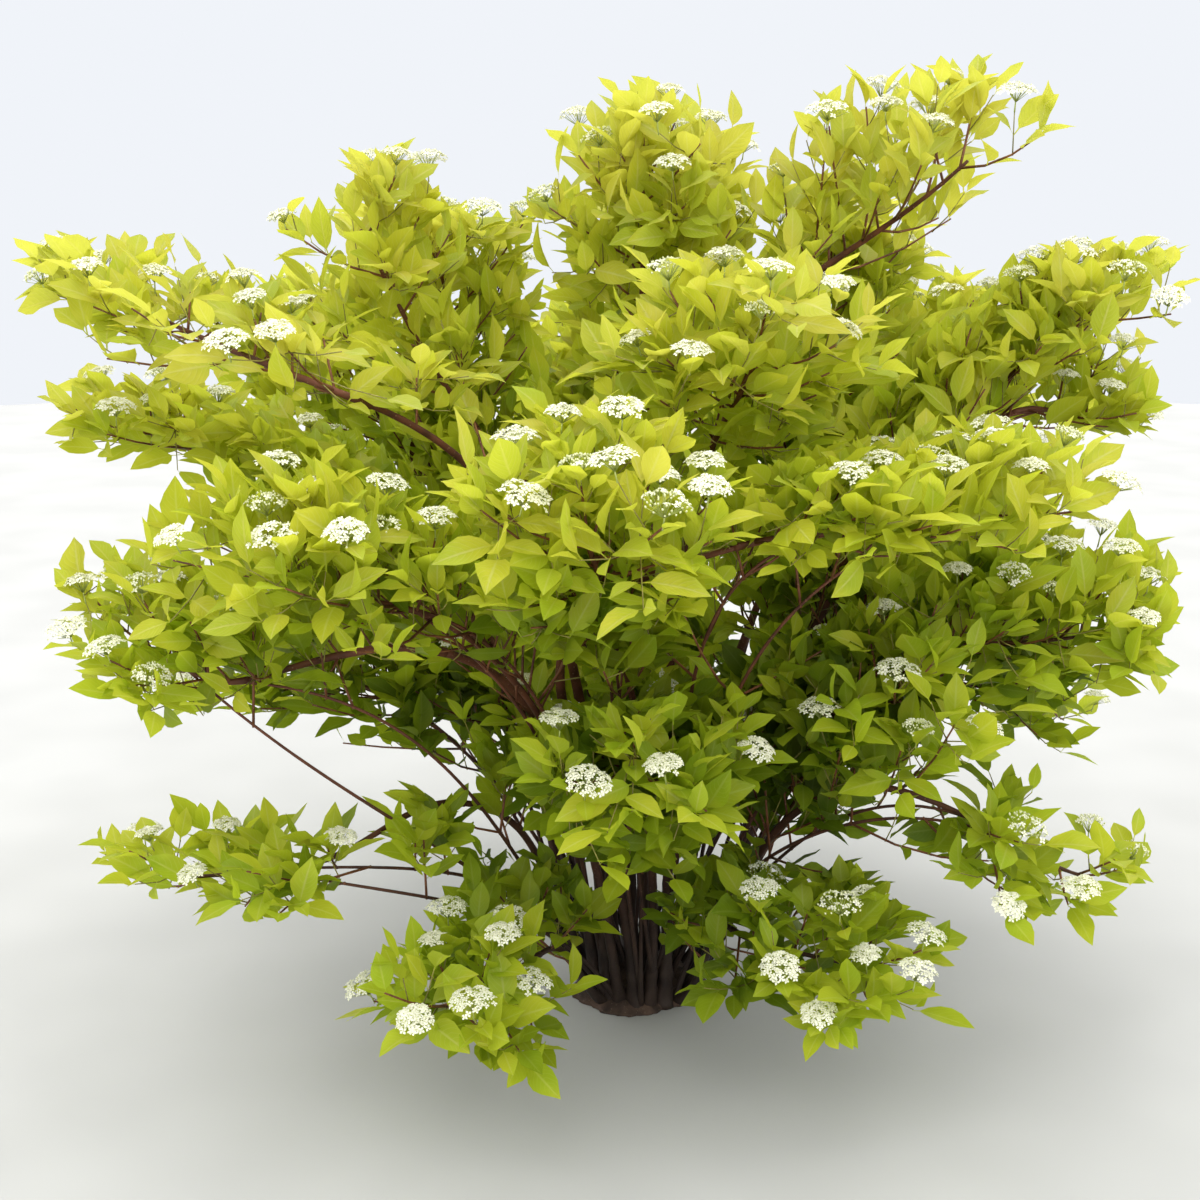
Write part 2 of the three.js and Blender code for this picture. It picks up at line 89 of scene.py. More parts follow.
LIMBS = [
    limb_row("stem_left", 216, 0.42, 0.43, 22, (11, 8.5), ring="outer", rise=80),
    limb_row("arm_left", 210, 0.75, 0.425, -9, (8.4, 5.5), parent="stem_left", at=1),
    limb_row("stem_upper_left", 234, 0.55, 0.68, 24, (13, 6), ring="outer", tip=217, rise=82),
    limb_row("stem_front_left", 248, 0.5, 0.475, 36, (9.5, 5.5), ring="outer", tip=233, rise=72),
    limb_row("stem_mid_left", 184, 0.51, 0.54, 28, (11, 5.5), ring="outer", tip=177, rise=73),
    limb_row("stem_top_left", 190, 0.3, 0.63, 52, (12, 6), ring="inner", tip=176, rise=84),
    limb_row("stem_centre", 110, 0.05, 0.7, 84, (14, 6.5), ring="inner", tip=95, rise=88),
    limb_row("stem_upper_right", 300, 0.25, 0.765, 36, (14, 7), ring="inner", tip=5, rise=92),
    limb_row("stem_right", 356, 0.5, 0.595, 50, (16, 9), ring="outer", tip=0, rise=66),
    limb_row("bough_right_fork", 4, 0.68, 0.645, 20, (6.5, 5), parent="stem_right", at=0.9, rise=20),
    limb_row("bough_right_mid", 342, 0.55, 0.43, 4, (7, 5), parent="stem_right", at=0.6, rise=30),
    limb_row("bough_right_low", 6, 0.53, 0.365, -4, (6.5, 5), parent="stem_right", at=0.46, rise=40),
    limb_row("stem_cross", 265, 0.2, 0.34, 74, (12, 9), ring="outer", tip=228, rise=80),
    limb_row("arm_cross", 287, 0.46, 0.56, 18, (8.8, 5.5), parent="stem_cross", at=1, veer=38),
    limb_row("stem_front", 281, 0.39, 0.47, 40, (10, 5.5), ring="outer", tip=262, rise=77),
    limb_row("stem_front_right", 298, 0.23, 0.61, 60, (11, 6), ring="outer", tip=296, rise=84),
    limb_row("stem_low_right", 330, 0.44, 0.29, 24, (9, 7), ring="outer", tip=324, rise=58, bare=0.25),
    limb_row("arm_low_right", 329, 0.65, 0.275, -20, (6.9, 5), parent="stem_low_right", at=1),
    limb_row("stem_low_left", 200, 0.37, 0.26, 18, (8.5, 6.5), ring="outer", tip=211, rise=62, bare=0.25),
    limb_row("arm_low_left", 216, 0.62, 0.25, -10, (6.4, 5), parent="stem_low_left", at=1),
    limb_row("stem_front_low_left", 232, 0.36, 0.125, 4, (8, 5.5),
             ring="outer", tip=240, rise=34, bare=0.25),
    limb_row("stem_front_low_right", 314, 0.34, 0.15, 6, (8, 5.5),
             ring="outer", tip=297, rise=34, bare=0.25),
    limb_row("stem_back_left", 145, 0.52, 0.55, 40, (13, 6), ring="outer", tip=140, rise=74),
    limb_row("stem_back", 100, 0.42, 0.55, 40, (13, 6), ring="outer", tip=95, rise=75),
    limb_row("stem_back_right", 48, 0.54, 0.55, 40, (13, 6), ring="outer", tip=43, rise=73),
    limb_row("bough_back_low_left", 132, 0.58, 0.36, 5, (6.5, 5), parent="stem_back_left", at=0.5, rise=35),
    limb_row("bough_back_low_right", 36, 0.6, 0.355, 5, (6.5, 5),
             parent="stem_back_right", at=0.5, rise=35),
    limb_row("stem_back_top", 70, 0.22, 0.68, 70, (12, 6), ring="inner", tip=80, rise=86),
]


def direction(azimuth, slope):
    """The unit vector at an azimuth from +X and a slope above level, in degrees."""
    a, s = math.radians(azimuth), math.radians(slope)
    return np.array([math.cos(a) * math.cos(s), math.sin(a) * math.cos(s), math.sin(s)])


def place(azimuth, reach, level):
    """A point at shares of the crown's radius and of its height."""
    return direction(azimuth, 0) * reach * CROWN_RADIUS + UP * level * HEIGHT


def heading(vector):
    """A vector's azimuth in degrees."""
    return math.degrees(math.atan2(vector[1], vector[0]))


def unit(vectors):
    """Vectors over their own lengths."""
    return vectors / np.linalg.norm(vectors, axis=-1, keepdims=True)


def curve_between(start, leave, end, arrive):
    """A cubic Bezier whose handles are a share of the straight distance."""
    span = PULL * np.linalg.norm(end - start)
    return np.array([start, start + leave * span, end - arrive * span, end])


def bezier(corners, t):
    """(1-t)^3 A + 3 t (1-t)^2 B + 3 t^2 (1-t) C + t^3 D, and the unit tangent."""
    t = np.asarray(t, float)[..., None]
    u = 1 - t
    a, b, c, d = corners
    points = u**3 * a + 3 * t * u**2 * b + 3 * t**2 * u * c + t**3 * d
    return points, unit(u**2 * (b - a) + 2 * t * u * (c - b) + t**2 * (d - c))


def along(corners, shares):
    """Points and tangents at shares of the curve's length."""
    t = np.linspace(0, 1, CURVE_POINTS)
    points, _ = bezier(corners, t)
    run = np.concatenate([[0], np.cumsum(np.linalg.norm(np.diff(points, axis=0), axis=1))])
    return bezier(corners, np.interp(np.asarray(shares) * run[-1], run, t))


def length_of(corners):
    """The curve's length."""
    points, _ = bezier(corners, np.linspace(0, 1, CURVE_POINTS))
    return np.linalg.norm(np.diff(points, axis=0), axis=1).sum()


limb_named = {}
for limb in LIMBS:
    end = place(limb.get("tip", limb["azimuth"]), limb["reach"], limb["level"])
    if "parent" in limb:
        parent = limb_named[limb["parent"]]
        starts, tangents = along(parent["curve"], [limb["at"]])
        start = starts[0]
        leave = tangents[0] if limb["at"] == 1 else direction(heading(end - start), limb["rise"])
    else:
        ring = INNER_RING if limb["ring"] == "inner" else OUTER_RING
        start = direction(limb["azimuth"], 0) * ring
        leave = direction(limb["azimuth"], limb["rise"])
    arrive = direction(heading(end - start) + limb.get("veer", 0), limb["fall"])
    limb["curve"] = curve_between(start, leave, end, arrive)
    limb["length"] = length_of(limb["curve"])
    limb["radii"] = np.array(limb["radii"]) / 1000
    limb_named[limb["name"]] = limb


def new_piece(name, verts, faces, uv=None, smooth=True):
    """One mesh object from a table of points and a table of faces with as many
    corners each. uv is given for every point."""
    mesh = bpy.data.meshes.new(name)
    mesh.vertices.add(len(verts))
    mesh.vertices.foreach_set("co", np.ascontiguousarray(verts, np.float32).ravel())
    mesh.loops.add(faces.size)
    mesh.loops.foreach_set("vertex_index", np.ascontiguousarray(faces, np.int32).ravel())
    mesh.polygons.add(len(faces))
    mesh.polygons.foreach_set("loop_start", np.arange(0, faces.size, faces.shape[1], dtype=np.int32))
    mesh.polygons.foreach_set("use_smooth", np.full(len(faces), smooth))
    if uv is not None:
        layer = mesh.uv_layers.new(name="leaf")
        layer.data.foreach_set("uv", np.ascontiguousarray(uv[faces.ravel()], np.float32).ravel())
    mesh.update(calc_edges=True)
    mesh.validate()
    piece = bpy.data.objects.new(name, mesh)
    bpy.context.scene.collection.objects.link(piece)
    return piece


def join_tables(parts):
    """Tables of points and faces put together into one of each."""
    shift = np.cumsum([0] + [len(v) for v, _ in parts[:-1]])
    return np.concatenate([v for v, _ in parts]), np.concatenate([f + s for (_, f), s in zip(parts, shift)])


def repeated(faces, copies, points):
    """One table of faces for copies of a shape that has so many points."""
    return (faces[None] + (np.arange(copies) * points)[:, None, None]).reshape(-1, 3)


def tube_faces(rings, sides):
    """Triangles of a tube of rings, with one point more at either end to close it."""
    i, j = np.meshgrid(np.arange(rings - 1), np.arange(sides), indexing="ij")
    a = (i * sides + j).ravel()
    b = (i * sides + (j + 1) % sides).ravel()
    k = np.arange(sides)
    last = (rings - 1) * sides
    return np.concatenate([
        np.stack([a, b, b + sides], 1),
        np.stack([a, b + sides, a + sides], 1),
        np.stack([np.full(sides, rings * sides), (k + 1) % sides, k], 1),
        np.stack([np.full(sides, rings * sides + 1), last + k, last + (k + 1) % sides], 1),
    ])


def full_turn(sides):
    """The angles of evenly spaced points round a circle."""
    return np.linspace(0, 2 * np.pi, sides, endpoint=False)


def rings_round(points, tangents, size, sides):
    """A circle carried along a curve: each ring lies square to the tangent, and its
    points stand out from the curve by size, given for each ring or each point."""
    side = direction(heading(points[-1] - points[0]) + 90, 0)
    across = unit(side - tangents * (tangents @ side)[:, None])
    other = np.cross(tangents, across)
    turn = full_turn(sides)
    return points[:, None] + size[..., None] * (
        np.cos(turn)[:, None] * across[:, None] + np.sin(turn)[:, None] * other[:, None]
    )


def limb_skin(limb, rng, sides=BARK_SIDES, pitch=BARK_STEP):
    """A limb's bark: a circle carried along its curve, its radius tapering, swollen
    in a ring at each old pair of buds, and rippled by slow waves along and around,
    which grow coarser and the whole wider near the ground."""
    rings = max(8, int(limb["length"] / pitch))
    share = np.linspace(0, 1, rings)
    points, tangents = along(limb["curve"], share)
    run = share * limb["length"]
    thick, thin = limb["radii"]
    radius = (thick + (thin - thick) * share) * (0.94 - 0.16 * share)
    turn = full_turn(sides)
    wide = 1.0
    age = SMOOTH_BARK
    if "parent" not in limb:
        wide = 1 + FLARE * np.exp(-run / FLARE_HEIGHT)[:, None]
        age = (SMOOTH_BARK + ROUGH_BARK * np.exp(-run / ROUGH_HEIGHT))[:, None]
    relief = np.zeros((rings, sides))
    for waves, rate, size in ((1, 31, 0.03), (2, 47, 0.025), (3, 74, 0.03), (5, 140, 0.018)):
        phase = rng.uniform(0, 2 * np.pi, 2)
        relief += size * np.sin(waves * turn + phase[0] + 2 * np.sin(run * rate + phase[1])[:, None])
    for node, where in enumerate(np.arange(rng.uniform(0.04, 0.09), limb["length"], BUD_RING_GAP)):
        bump = np.exp(-(((run - where) / BUD_RING_WIDTH) ** 2))[:, None]
        relief += 0.16 * bump * (0.6 + 0.4 * np.cos(2 * (turn - node * np.pi / 2)))
    skin = rings_round(points, tangents, radius[:, None] * wide * (1 + relief * age), sides)
    skin = np.concatenate([skin.reshape(-1, 3), points[:1], points[-1:] + tangents[-1:] * radius[-1] * 0.5])
    skin[:, 2] = np.maximum(skin[:, 2], 0)
    return skin, tube_faces(rings, sides)


def joined(tree, node, **inputs):
    """The node, with its named or numbered sockets set to a value or joined to an
    output: i6 is its seventh socket."""
    for name, value in inputs.items():
        socket = node.inputs[int(name[1:])] if name[0] == "i" and name[1:].isdigit() else node.inputs[name]
        if isinstance(value, bpy.types.NodeSocket):
            tree.links.new(value, socket)
        else:
            socket.default_value = value
    return node


def node_of(tree, kind, **inputs):
    """A new shader node with its sockets set or joined."""
    return joined(tree, tree.nodes.new(kind), **inputs)


def object_place(tree):
    """The place on the object, in metres."""
    return tree.nodes.new("ShaderNodeTexCoord").outputs["Object"]


def step(tree, operation, first, second=None):
    """One step of arithmetic in a shader."""
    inputs = dict(i0=first) if second is None else dict(i0=first, i1=second)
    node = node_of(tree, "ShaderNodeMath", **inputs)
    node.operation = operation
    return node.outputs[0]


def between(tree, value, low, high):
    """0 at low and 1 at high, in a straight line, and level outside them."""
    node = node_of(tree, "ShaderNodeMapRange", Value=value, **{"From Min": low, "From Max": high})
    return node.outputs["Result"]


def mixed_colour(tree, kind, share, first, second):
    """Two colours put together in the given way by a share."""
    node = tree.nodes.new("ShaderNodeMix")
    node.data_type = "RGBA"
    node.blend_type = kind
    return joined(tree, node, i0=share, i6=first, i7=second).outputs[2]


def sunk(tree, height, strength, depth):
    """The normal of a surface with a fine relief of so many metres."""
    return node_of(
        tree, "ShaderNodeBump", Height=height, Strength=strength, Distance=depth
    ).outputs["Normal"]


def new_group(name, inputs, outputs):
    """An empty node group with named sockets."""
    group = bpy.data.node_groups.new(name, "ShaderNodeTree")
    for label, kind in inputs:
        group.interface.new_socket(label, in_out="INPUT", socket_type="NodeSocket" + kind)
    for label in outputs:
        group.interface.new_socket(label, in_out="OUTPUT", socket_type="NodeSocketFloat")
    return group, group.nodes.new("NodeGroupInput"), group.nodes.new("NodeGroupOutput")


def ramp(tree, share, stops):
    """A colour ramp through (position, colour) stops."""
    node = node_of(tree, "ShaderNodeValToRGB", Fac=share)
    for element, (position, colour) in zip(node.color_ramp.elements, stops):
        element.position = position
        element.color = (*colour, 1)
    return node.outputs["Color"]


def new_material(name):
    """A material, its tree of nodes and its shader."""
    material = bpy.data.materials.new(name)
    material.use_nodes = True
    return material, material.node_tree, material.node_tree.nodes["Principled BSDF"]


# Bark mottle: clouds of two shades, fine cracks along the grain and pale breathing
# pores. Scale is how fine the clouds are and Cracks how strongly the cracks show.
bark_group, bark_in, bark_out = new_group(
    "bark_mottle", [("Scale", "Float"), ("Cracks", "Float")], ["Cloud", "Pores", "Height"]
)
on_bark = object_place(bark_group)
cloud_size = bark_in.outputs["Scale"]
cloud = node_of(bark_group, "ShaderNodeTexNoise", Vector=on_bark, Scale=cloud_size, Detail=4.0)
stretched = node_of(bark_group, "ShaderNodeMapping", Vector=on_bark, Scale=(1.0, 1.0, 0.16))
cracks = node_of(
    bark_group, "ShaderNodeTexNoise",
    Vector=stretched.outputs["Vector"], Scale=420.0, Detail=5.0, Roughness=0.7,
)
pores = node_of(bark_group, "ShaderNodeTexVoronoi", Vector=on_bark, Scale=150.0, Randomness=1.0)
pore_mask = between(bark_group, pores.outputs["Distance"], 0.22, 0.1)
crack_height = step(bark_group, "MULTIPLY", cracks.outputs["Fac"], bark_in.outputs["Cracks"])
joined(
    bark_group, bark_out, Cloud=cloud.outputs["Fac"], Pores=pore_mask,
    Height=step(bark_group, "ADD", crack_height, pore_mask),
)
# Heights in metres: the bark keeps its own colours above the second and takes the darker pair fully below
# the first, which is old bark and painted shade near the ground.
OLD_AND_SHADED_BELOW = 0.1
YOUNG_ABOVE = 0.6


def bark_material(name, dark, light, pore, roughness, scale, cracks, strength, aged_and_shaded=None):
    """Two shades of bark mixed by cloud, with paler pores and a fine relief. With a dark pair
    for old bark in painted shade, the bark is of those near the ground and its own higher up."""
    material, tree, shader = new_material(name)
    mottle = tree.nodes.new("ShaderNodeGroup")
    mottle.node_tree = bark_group
    joined(tree, mottle, Scale=scale, Cracks=cracks)
    cloud = mottle.outputs["Cloud"]
    shades = ramp(tree, cloud, [(0.34, dark), (0.66, light)])
    colour = mixed_colour(tree, "MIX", mottle.outputs["Pores"], shades, (*pore, 1))
    relief = sunk(tree, mottle.outputs["Height"], strength, 0.0008)
    if aged_and_shaded is not None:
        # Towards the ground the colour turns to the darker pair: old bark with painted shade.
        where = node_of(tree, "ShaderNodeSeparateXYZ", Vector=object_place(tree))
        age = between(tree, where.outputs["Z"], YOUNG_ABOVE, OLD_AND_SHADED_BELOW)
        old_and_shaded_colours = ramp(tree, cloud, [(0.3, aged_and_shaded[0]), (0.7, aged_and_shaded[1])])
        colour = mixed_colour(tree, "MIX", age, colour, old_and_shaded_colours)
    joined(tree, shader, Roughness=roughness, Normal=relief, **{
        "Base Color": colour, "Specular IOR Level": 0.3,
    })
    return material


# The darker pair near the ground is old bark with painted shade.
red_bark = bark_material(
    "red_bark", (0.06, 0.02, 0.011), (0.15, 0.05, 0.026), (0.20, 0.10, 0.06), 0.62, 26.0, 0.6, 0.6,
    aged_and_shaded=((0.012, 0.007, 0.005), (0.032, 0.019, 0.013)),
)
rng = np.random.default_rng(41)
stems = [limb for limb in LIMBS if "parent" not in limb]
boughs = [limb for limb in LIMBS if "parent" in limb]
stem_piece = new_piece("stems_in_bark", *join_tables([limb_skin(limb, rng) for limb in stems]))
bough_piece = new_piece("boughs_in_bark", *join_tables([limb_skin(limb, rng) for limb in boughs]))
for piece, limbs in ((stem_piece, stems), (bough_piece, boughs)):
    piece.data.materials.append(red_bark)
    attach(piece, "root")
    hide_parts(*[limb["name"] for limb in limbs])


# The foot: the old woody crown that all the stems rise from, a low lobed mound of
# dark cracked bark, cut flat at the ground.
FOOT_RADIUS = 0.118
FOOT_HEIGHT = 0.046
FOOT_POWER = 2.4
FOOT_ROUNDS = 30
FOOT_SIDES = 120


def foot_mound(rng):
    """Height falls from the middle to the rim as a dome does, and the rim waves in
    and out. Ripples that follow the rim make the folds of old bark. It is a tube whose
    rings widen, so its faces are turned to look out."""
    r = np.linspace(0, 1, FOOT_ROUNDS)[1:]
    sides = FOOT_SIDES
    turn = full_turn(sides)
    lobe = 1 + 0.07 * np.cos(3 * turn + 0.6) + 0.05 * np.cos(5 * turn + 2)
    rough = np.zeros((len(r), sides))
    for waves, rate, size in ((9, 9, 0.1), (17, 14, 0.08), (31, 23, 0.06), (44, 37, 0.05)):
        phase = rng.uniform(0, 2 * np.pi, 2)
        rough += size * np.sin(waves * turn + phase[0] + 1.5 * np.sin(r * rate + phase[1])[:, None])
    fold = 1 + 0.16 * rough * r[:, None]
    x = FOOT_RADIUS * r[:, None] * lobe * fold * np.cos(turn)
    y = FOOT_RADIUS * r[:, None] * lobe * fold * np.sin(turn)
    z = FOOT_HEIGHT * np.clip(1 - r[:, None] ** FOOT_POWER, 0, 1) * (1 + 0.5 * rough)
    z[-1] = 0
    skin = np.concatenate([np.stack([x, y, z], -1).reshape(-1, 3), [[0, 0, FOOT_HEIGHT], [0, 0, 0]]])
    return skin, tube_faces(len(r), sides)[:, ::-1]


old_bark = bark_material(
    "old_bark", (0.028, 0.018, 0.013), (0.085, 0.052, 0.036), (0.11, 0.08, 0.06), 0.85, 34.0, 2.4, 1.0
)
foot_piece = new_piece("foot_in_bark", *foot_mound(rng))
foot_piece.data.materials.append(old_bark)
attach(foot_piece, "root")
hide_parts("foot")


# Twigs: each mass of foliage grows on from a limb. Its spine bears opposite twigs,
# each pair turned a quarter from the last, and these bear short shoots. All bend up
# to the light, and what would leave the mass's own space isn't grown.
def mass_row(name, limb, azimuth, reach, level, lift, **rest):
    """A mass's limb, where its spine ends, and the slope that it ends at. The rest is
    where it leaves the limb, if not at its tip, how far its foliage goes above, below
    and around the spine, and the share of twigs that a thin one keeps."""
    return dict(name=name, limb=limb, azimuth=azimuth, reach=reach, level=level, lift=lift, **rest)


MASSES = [
    mass_row("leaves_left_arm", "arm_left", 203, 0.9, 0.455, 24, rise=0.14, drop=0.035),
    mass_row("leaves_upper_left", "stem_upper_left", 192, 0.9, 0.775, 26,
             rise=0.095, drop=0.022, spread=0.255),
    mass_row("leaves_front_left", "stem_front_left", 227, 0.79, 0.55, 28, drop=0.06),
    mass_row("leaves_mid_left", "stem_mid_left", 180, 0.9, 0.63, 26, rise=0.1, drop=0.045),
    mass_row("leaves_top_left", "stem_top_left", 186, 0.49, 0.835, 66, rise=0.13, spread=0.165, kept=0.55),
    mass_row("leaves_top_centre", "stem_centre", 0, 0.0, 0.89, 84, rise=0.15, spread=0.2),
    mass_row("leaves_upper_right", "stem_upper_right", 347, 0.55, 0.9, 46, drop=0.022, kept=0.85),
    mass_row("leaves_right", "stem_right", 355, 0.79, 0.765, 44, rise=0.1, drop=0.03),
    mass_row("leaves_right_fork", "bough_right_fork", 7, 0.85, 0.64, 16, drop=0.03),
    mass_row("leaves_right_mid", "bough_right_mid", 346, 0.8, 0.44, 14),
    mass_row("leaves_right_low", "bough_right_low", 5, 0.8, 0.33, 0, kept=0.75),
    mass_row("leaves_front_right", "arm_cross", 320, 0.7, 0.595, 22, rise=0.13, drop=0.04),
    mass_row("leaves_front", "stem_front", 262, 0.66, 0.59, 28, spread=0.25),
    mass_row("leaves_front_high", "stem_front_right", 291, 0.45, 0.725, 52, rise=0.15, spread=0.265),
    mass_row("leaves_front_low", "stem_front", 268, 0.53, 0.365, 10, at=0.55, drop=0.2),
    mass_row("leaves_right_inner", "stem_right", 320, 0.55, 0.4, 16, at=0.42, drop=0.15),
    mass_row("leaves_low_right", "arm_low_right", 336, 0.83, 0.215, -8, rise=0.09, drop=0.07, kept=0.65),
    mass_row("leaves_low_left", "arm_low_left", 209, 0.86, 0.235, 2, rise=0.075, drop=0.05, kept=0.65),
    mass_row("leaves_foot_left", "stem_front_low_left", 238, 0.6, 0.125, 6,
             rise=0.16, drop=0.08, spread=0.23, kept=0.9),
    mass_row("leaves_foot_right", "stem_front_low_right", 309, 0.58, 0.15, 4,
             rise=0.15, drop=0.09, kept=0.9),
    mass_row("leaves_back_left", "stem_back_left", 145, 0.83, 0.665, 32, spread=0.25),
    mass_row("leaves_back", "stem_back", 94, 0.81, 0.64, 30, spread=0.25),
    mass_row("leaves_back_right", "stem_back_right", 42, 0.85, 0.665, 32, spread=0.25),
    mass_row("leaves_back_low_left", "bough_back_low_left", 127, 0.83, 0.36, 12),
    mass_row("leaves_back_low", "stem_back", 88, 0.73, 0.35, 14, at=0.5),
    mass_row("leaves_back_low_right", "bough_back_low_right", 34, 0.85, 0.35, 12),
    mass_row("leaves_left_low", "stem_mid_left", 168, 0.77, 0.36, 10, at=0.5, kept=0.75),
    mass_row("leaves_right_back", "stem_right", 26, 0.77, 0.56, 24, at=0.72),
    mass_row("leaves_top_back", "stem_back_top", 75, 0.36, 0.84, 70),
    mass_row("leaves_top_back_left", "stem_back_left", 150, 0.45, 0.81, 70, at=0.84, rise=0.08),
    mass_row("leaves_top_back_right", "stem_back_right", 38, 0.49, 0.815, 68, at=0.84, rise=0.09),
]
CROWN_LEAN = -0.05
MASS_SPREAD = 0.235
MASS_RISE = 0.19
MASS_DROP = 0.09
MASS_HANG = 0.085
MASS_GAP = 0.002
LIMB_GAP = 0.006
GROUND_GAP = 0.014
LIMB_END = 0.97
LIMB_PLACES = 61
SPINE_PLACES = 17
NODE_STEP = 0.031
BOUGH_STEP = 0.062
TWIG_LENGTH = 0.118
SHOOT_SHARE = 0.43
LEAF_AHEAD = 0.042
AT_ONCE = 4000

for mass in MASSES:
    starts, tangents = along(limb_named[mass["limb"]]["curve"], [mass.get("at", 1)])
    end = place(mass["azimuth"], mass["reach"], mass["level"])
    outward = unit(end - starts[0])
    leave = tangents[0] if "at" not in mass else outward
    arrive = unit(0.5 * outward + direction(heading(end - starts[0]), mass["lift"]))
    mass["curve"] = curve_between(starts[0], leave, end, arrive)
    mass["length"] = length_of(mass["curve"])

mass_traces = np.array([along(mass["curve"], np.linspace(0, 1, SPINE_PLACES))[0] for mass in MASSES])
mass_floor = mass_traces[:, :, 2].min(axis=1) - MASS_HANG
rise_of = np.array([mass.get("rise", MASS_RISE) for mass in MASSES])
drop_of = np.array([mass.get("drop", MASS_DROP) for mass in MASSES])
spread_of = np.array([mass.get("spread", MASS_SPREAD) for mass in MASSES])
kept_share = np.array([mass.get("kept", 1.0) for mass in MASSES])
limb_trace = np.concatenate([along(limb["curve"], np.linspace(0, 1, LIMB_PLACES))[0] for limb in LIMBS])
limb_reach = np.concatenate([np.linspace(*limb["radii"], LIMB_PLACES) for limb in LIMBS]) + LIMB_GAP


def parts_of(count, size):
    """Slices that go through a long table a part at a time, to spare memory."""
    return [slice(first, first + size) for first in range(0, count, size)]


def kept(flags, *tables):
    """The rows of some tables at which the flags hold."""
    return tuple(table[flags] for table in tables)


def put_together(groups):
    """Like tables from several groups, each kind made one."""
    return tuple(np.concatenate(tables) for tables in zip(*groups))


def gaps_between(points, others):
    """How far each point is from each of the others."""
    return np.linalg.norm(points[:, None] - others, axis=-1)


def is_own(points, mass, near=1.0):
    """Whether each point lies within the crown and a share of its mass's reach, nearer
    to its own mass's spine than to any other, and clear of limbs and the ground."""
    good = np.zeros(len(points), bool)
    far = spread_of[mass] * near
    for some in parts_of(len(points), AT_ONCE):
        p, m = points[some], mass[some]
        each = np.arange(len(p))
        gaps = gaps_between(p, mass_traces.reshape(-1, 3)).reshape(len(p), len(MASSES), -1)
        over = p[:, 2] - mass_traces[m, gaps[each, m].argmin(axis=1), 2]
        gaps = gaps.min(axis=2)
        mine = gaps[each, m].copy()
        gaps[each, m] = np.inf
        ok = (mine < far[some]) & (gaps.min(axis=1) > mine + MASS_GAP)
        ok &= (over < rise_of[m]) & (over > -drop_of[m])
        ok &= (p[:, 2] > GROUND_GAP) & (p[:, 2] < HEIGHT) & (p[:, 2] > mass_floor[m])
        ok &= np.hypot(p[:, 0] - CROWN_LEAN, p[:, 1]) < CROWN_RADIUS
        good[some] = ok & (gaps_between(p, limb_trace) > limb_reach).all(axis=1)
    return good


def blend(*parts):
    """Directions weighed, added and made one long again."""
    return unit(sum(vector * np.asarray(share)[..., None] for vector, share in parts))


def side_of(ways, turn):
    """The level direction across each way, turned about it by an angle."""
    level = np.cross(ways, UP)
    upright = np.linalg.norm(level, axis=1, keepdims=True) < 1e-3
    level = unit(level + np.where(upright, [[1.0, 0, 0]], 0))
    third = np.cross(ways, level)
    return level * np.cos(turn)[:, None] + third * np.sin(turn)[:, None]


def shoot_point(start, way, length, lift, share):
    """A shoot's middle line: straight on, and bent up by its lift times share squared."""
    share = np.asarray(share)[..., None]
    return start + way * length[:, None] * share + UP * (lift * length)[:, None] * share**2


def shoot_way(way, lift, share):
    """The direction of a shoot's middle line at a share of its length."""
    return unit(way + UP * (2 * lift * share)[:, None])


def pairs_on(start, way, length, lift, mass, share, turn, spread, rng):
    """One opposite pair on each shoot: where it sits, its two directions and which
    mass it is in. spread is how far the pair leans out from the shoot."""
    roots = shoot_point(start, way, length, lift, share)
    ways = shoot_way(way, lift, share)
    across = side_of(ways, turn + rng.normal(0, 0.25, len(start)))
    out = [blend((ways, 1 - spread), (across * sign, spread)) for sign in (1, -1)]
    return np.concatenate([roots, roots]), np.concatenate(out), np.concatenate([mass, mass])


def fitted(shoots, rng, least=0.6, sizes=(1.0, 0.86, 0.72, 0.58, 0.44)):
    """Each shoot at the greatest of a few sizes at which its middle, its tip and a
    leaf beyond its tip lie in its mass's own space, or in that share of it that chance
    gives the shoot, so that some stand out. What never fits isn't grown."""
    start, way, length, lift, mass, *rest = shoots
    near = np.minimum(rng.uniform(least, 1.12, len(start)), 1)
    scale = np.zeros(len(start))
    for size in sizes:
        left = np.flatnonzero(scale == 0)
        own = kept(left, start, way, length * size, lift)
        middles, tips = shoot_point(*own, 0.5), shoot_point(*own, 1.0)
        beyond = tips + shoot_way(way[left], lift[left], 1.0) * LEAF_AHEAD
        fits = np.ones(len(left), bool)
        for points in (middles, tips, beyond):
            fits &= is_own(points, mass[left], near[left])
        scale[left[fits]] = size
    return kept(scale > 0, start, way, length * scale, lift, mass, *rest)


YOUNG_STEMS = 2
YOUNG_BELOW = 0.68
YOUNG_RADII = np.array([0.0046, 0.0026])
YOUNG_SIDES = 6
YOUNG_STEP = 0.018
YOUNG_BARE = 0.36
rng = np.random.default_rng(7)


def young_stems(rng):
    """Young stems as thin as a pencil, which rise among the old ones from the same
    foot and lean out on the way to a place on a lower mass's spine, two to a mass."""
    found = []
    low = [mass for mass in MASSES if mass["level"] <= YOUNG_BELOW and "foot" not in mass["name"]]
    for mass in np.repeat(low, YOUNG_STEMS):
        ends, tangents = along(mass["curve"], [rng.uniform(0.15, 0.8)])
        azimuth = heading(ends[0]) + rng.uniform(-45, 45)
        start = direction(azimuth, 0) * rng.uniform(0.05, 0.1)
        leave = direction(heading(ends[0] - start) + rng.uniform(-12, 12), rng.uniform(50, 74))
        arrive = unit(tangents[0] + UP * rng.uniform(-0.1, 0.4))
        curve = curve_between(start, leave, ends[0], arrive)
        found.append(dict(curve=curve, length=length_of(curve), radii=YOUNG_RADII, bare=YOUNG_BARE))
    return found


young = young_stems(rng)
young_skins = [limb_skin(stem, rng, YOUNG_SIDES, YOUNG_STEP) for stem in young]
young_piece = new_piece("young_stems", *join_tables(young_skins))
young_piece.data.materials.append(red_bark)
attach(young_piece, "root")

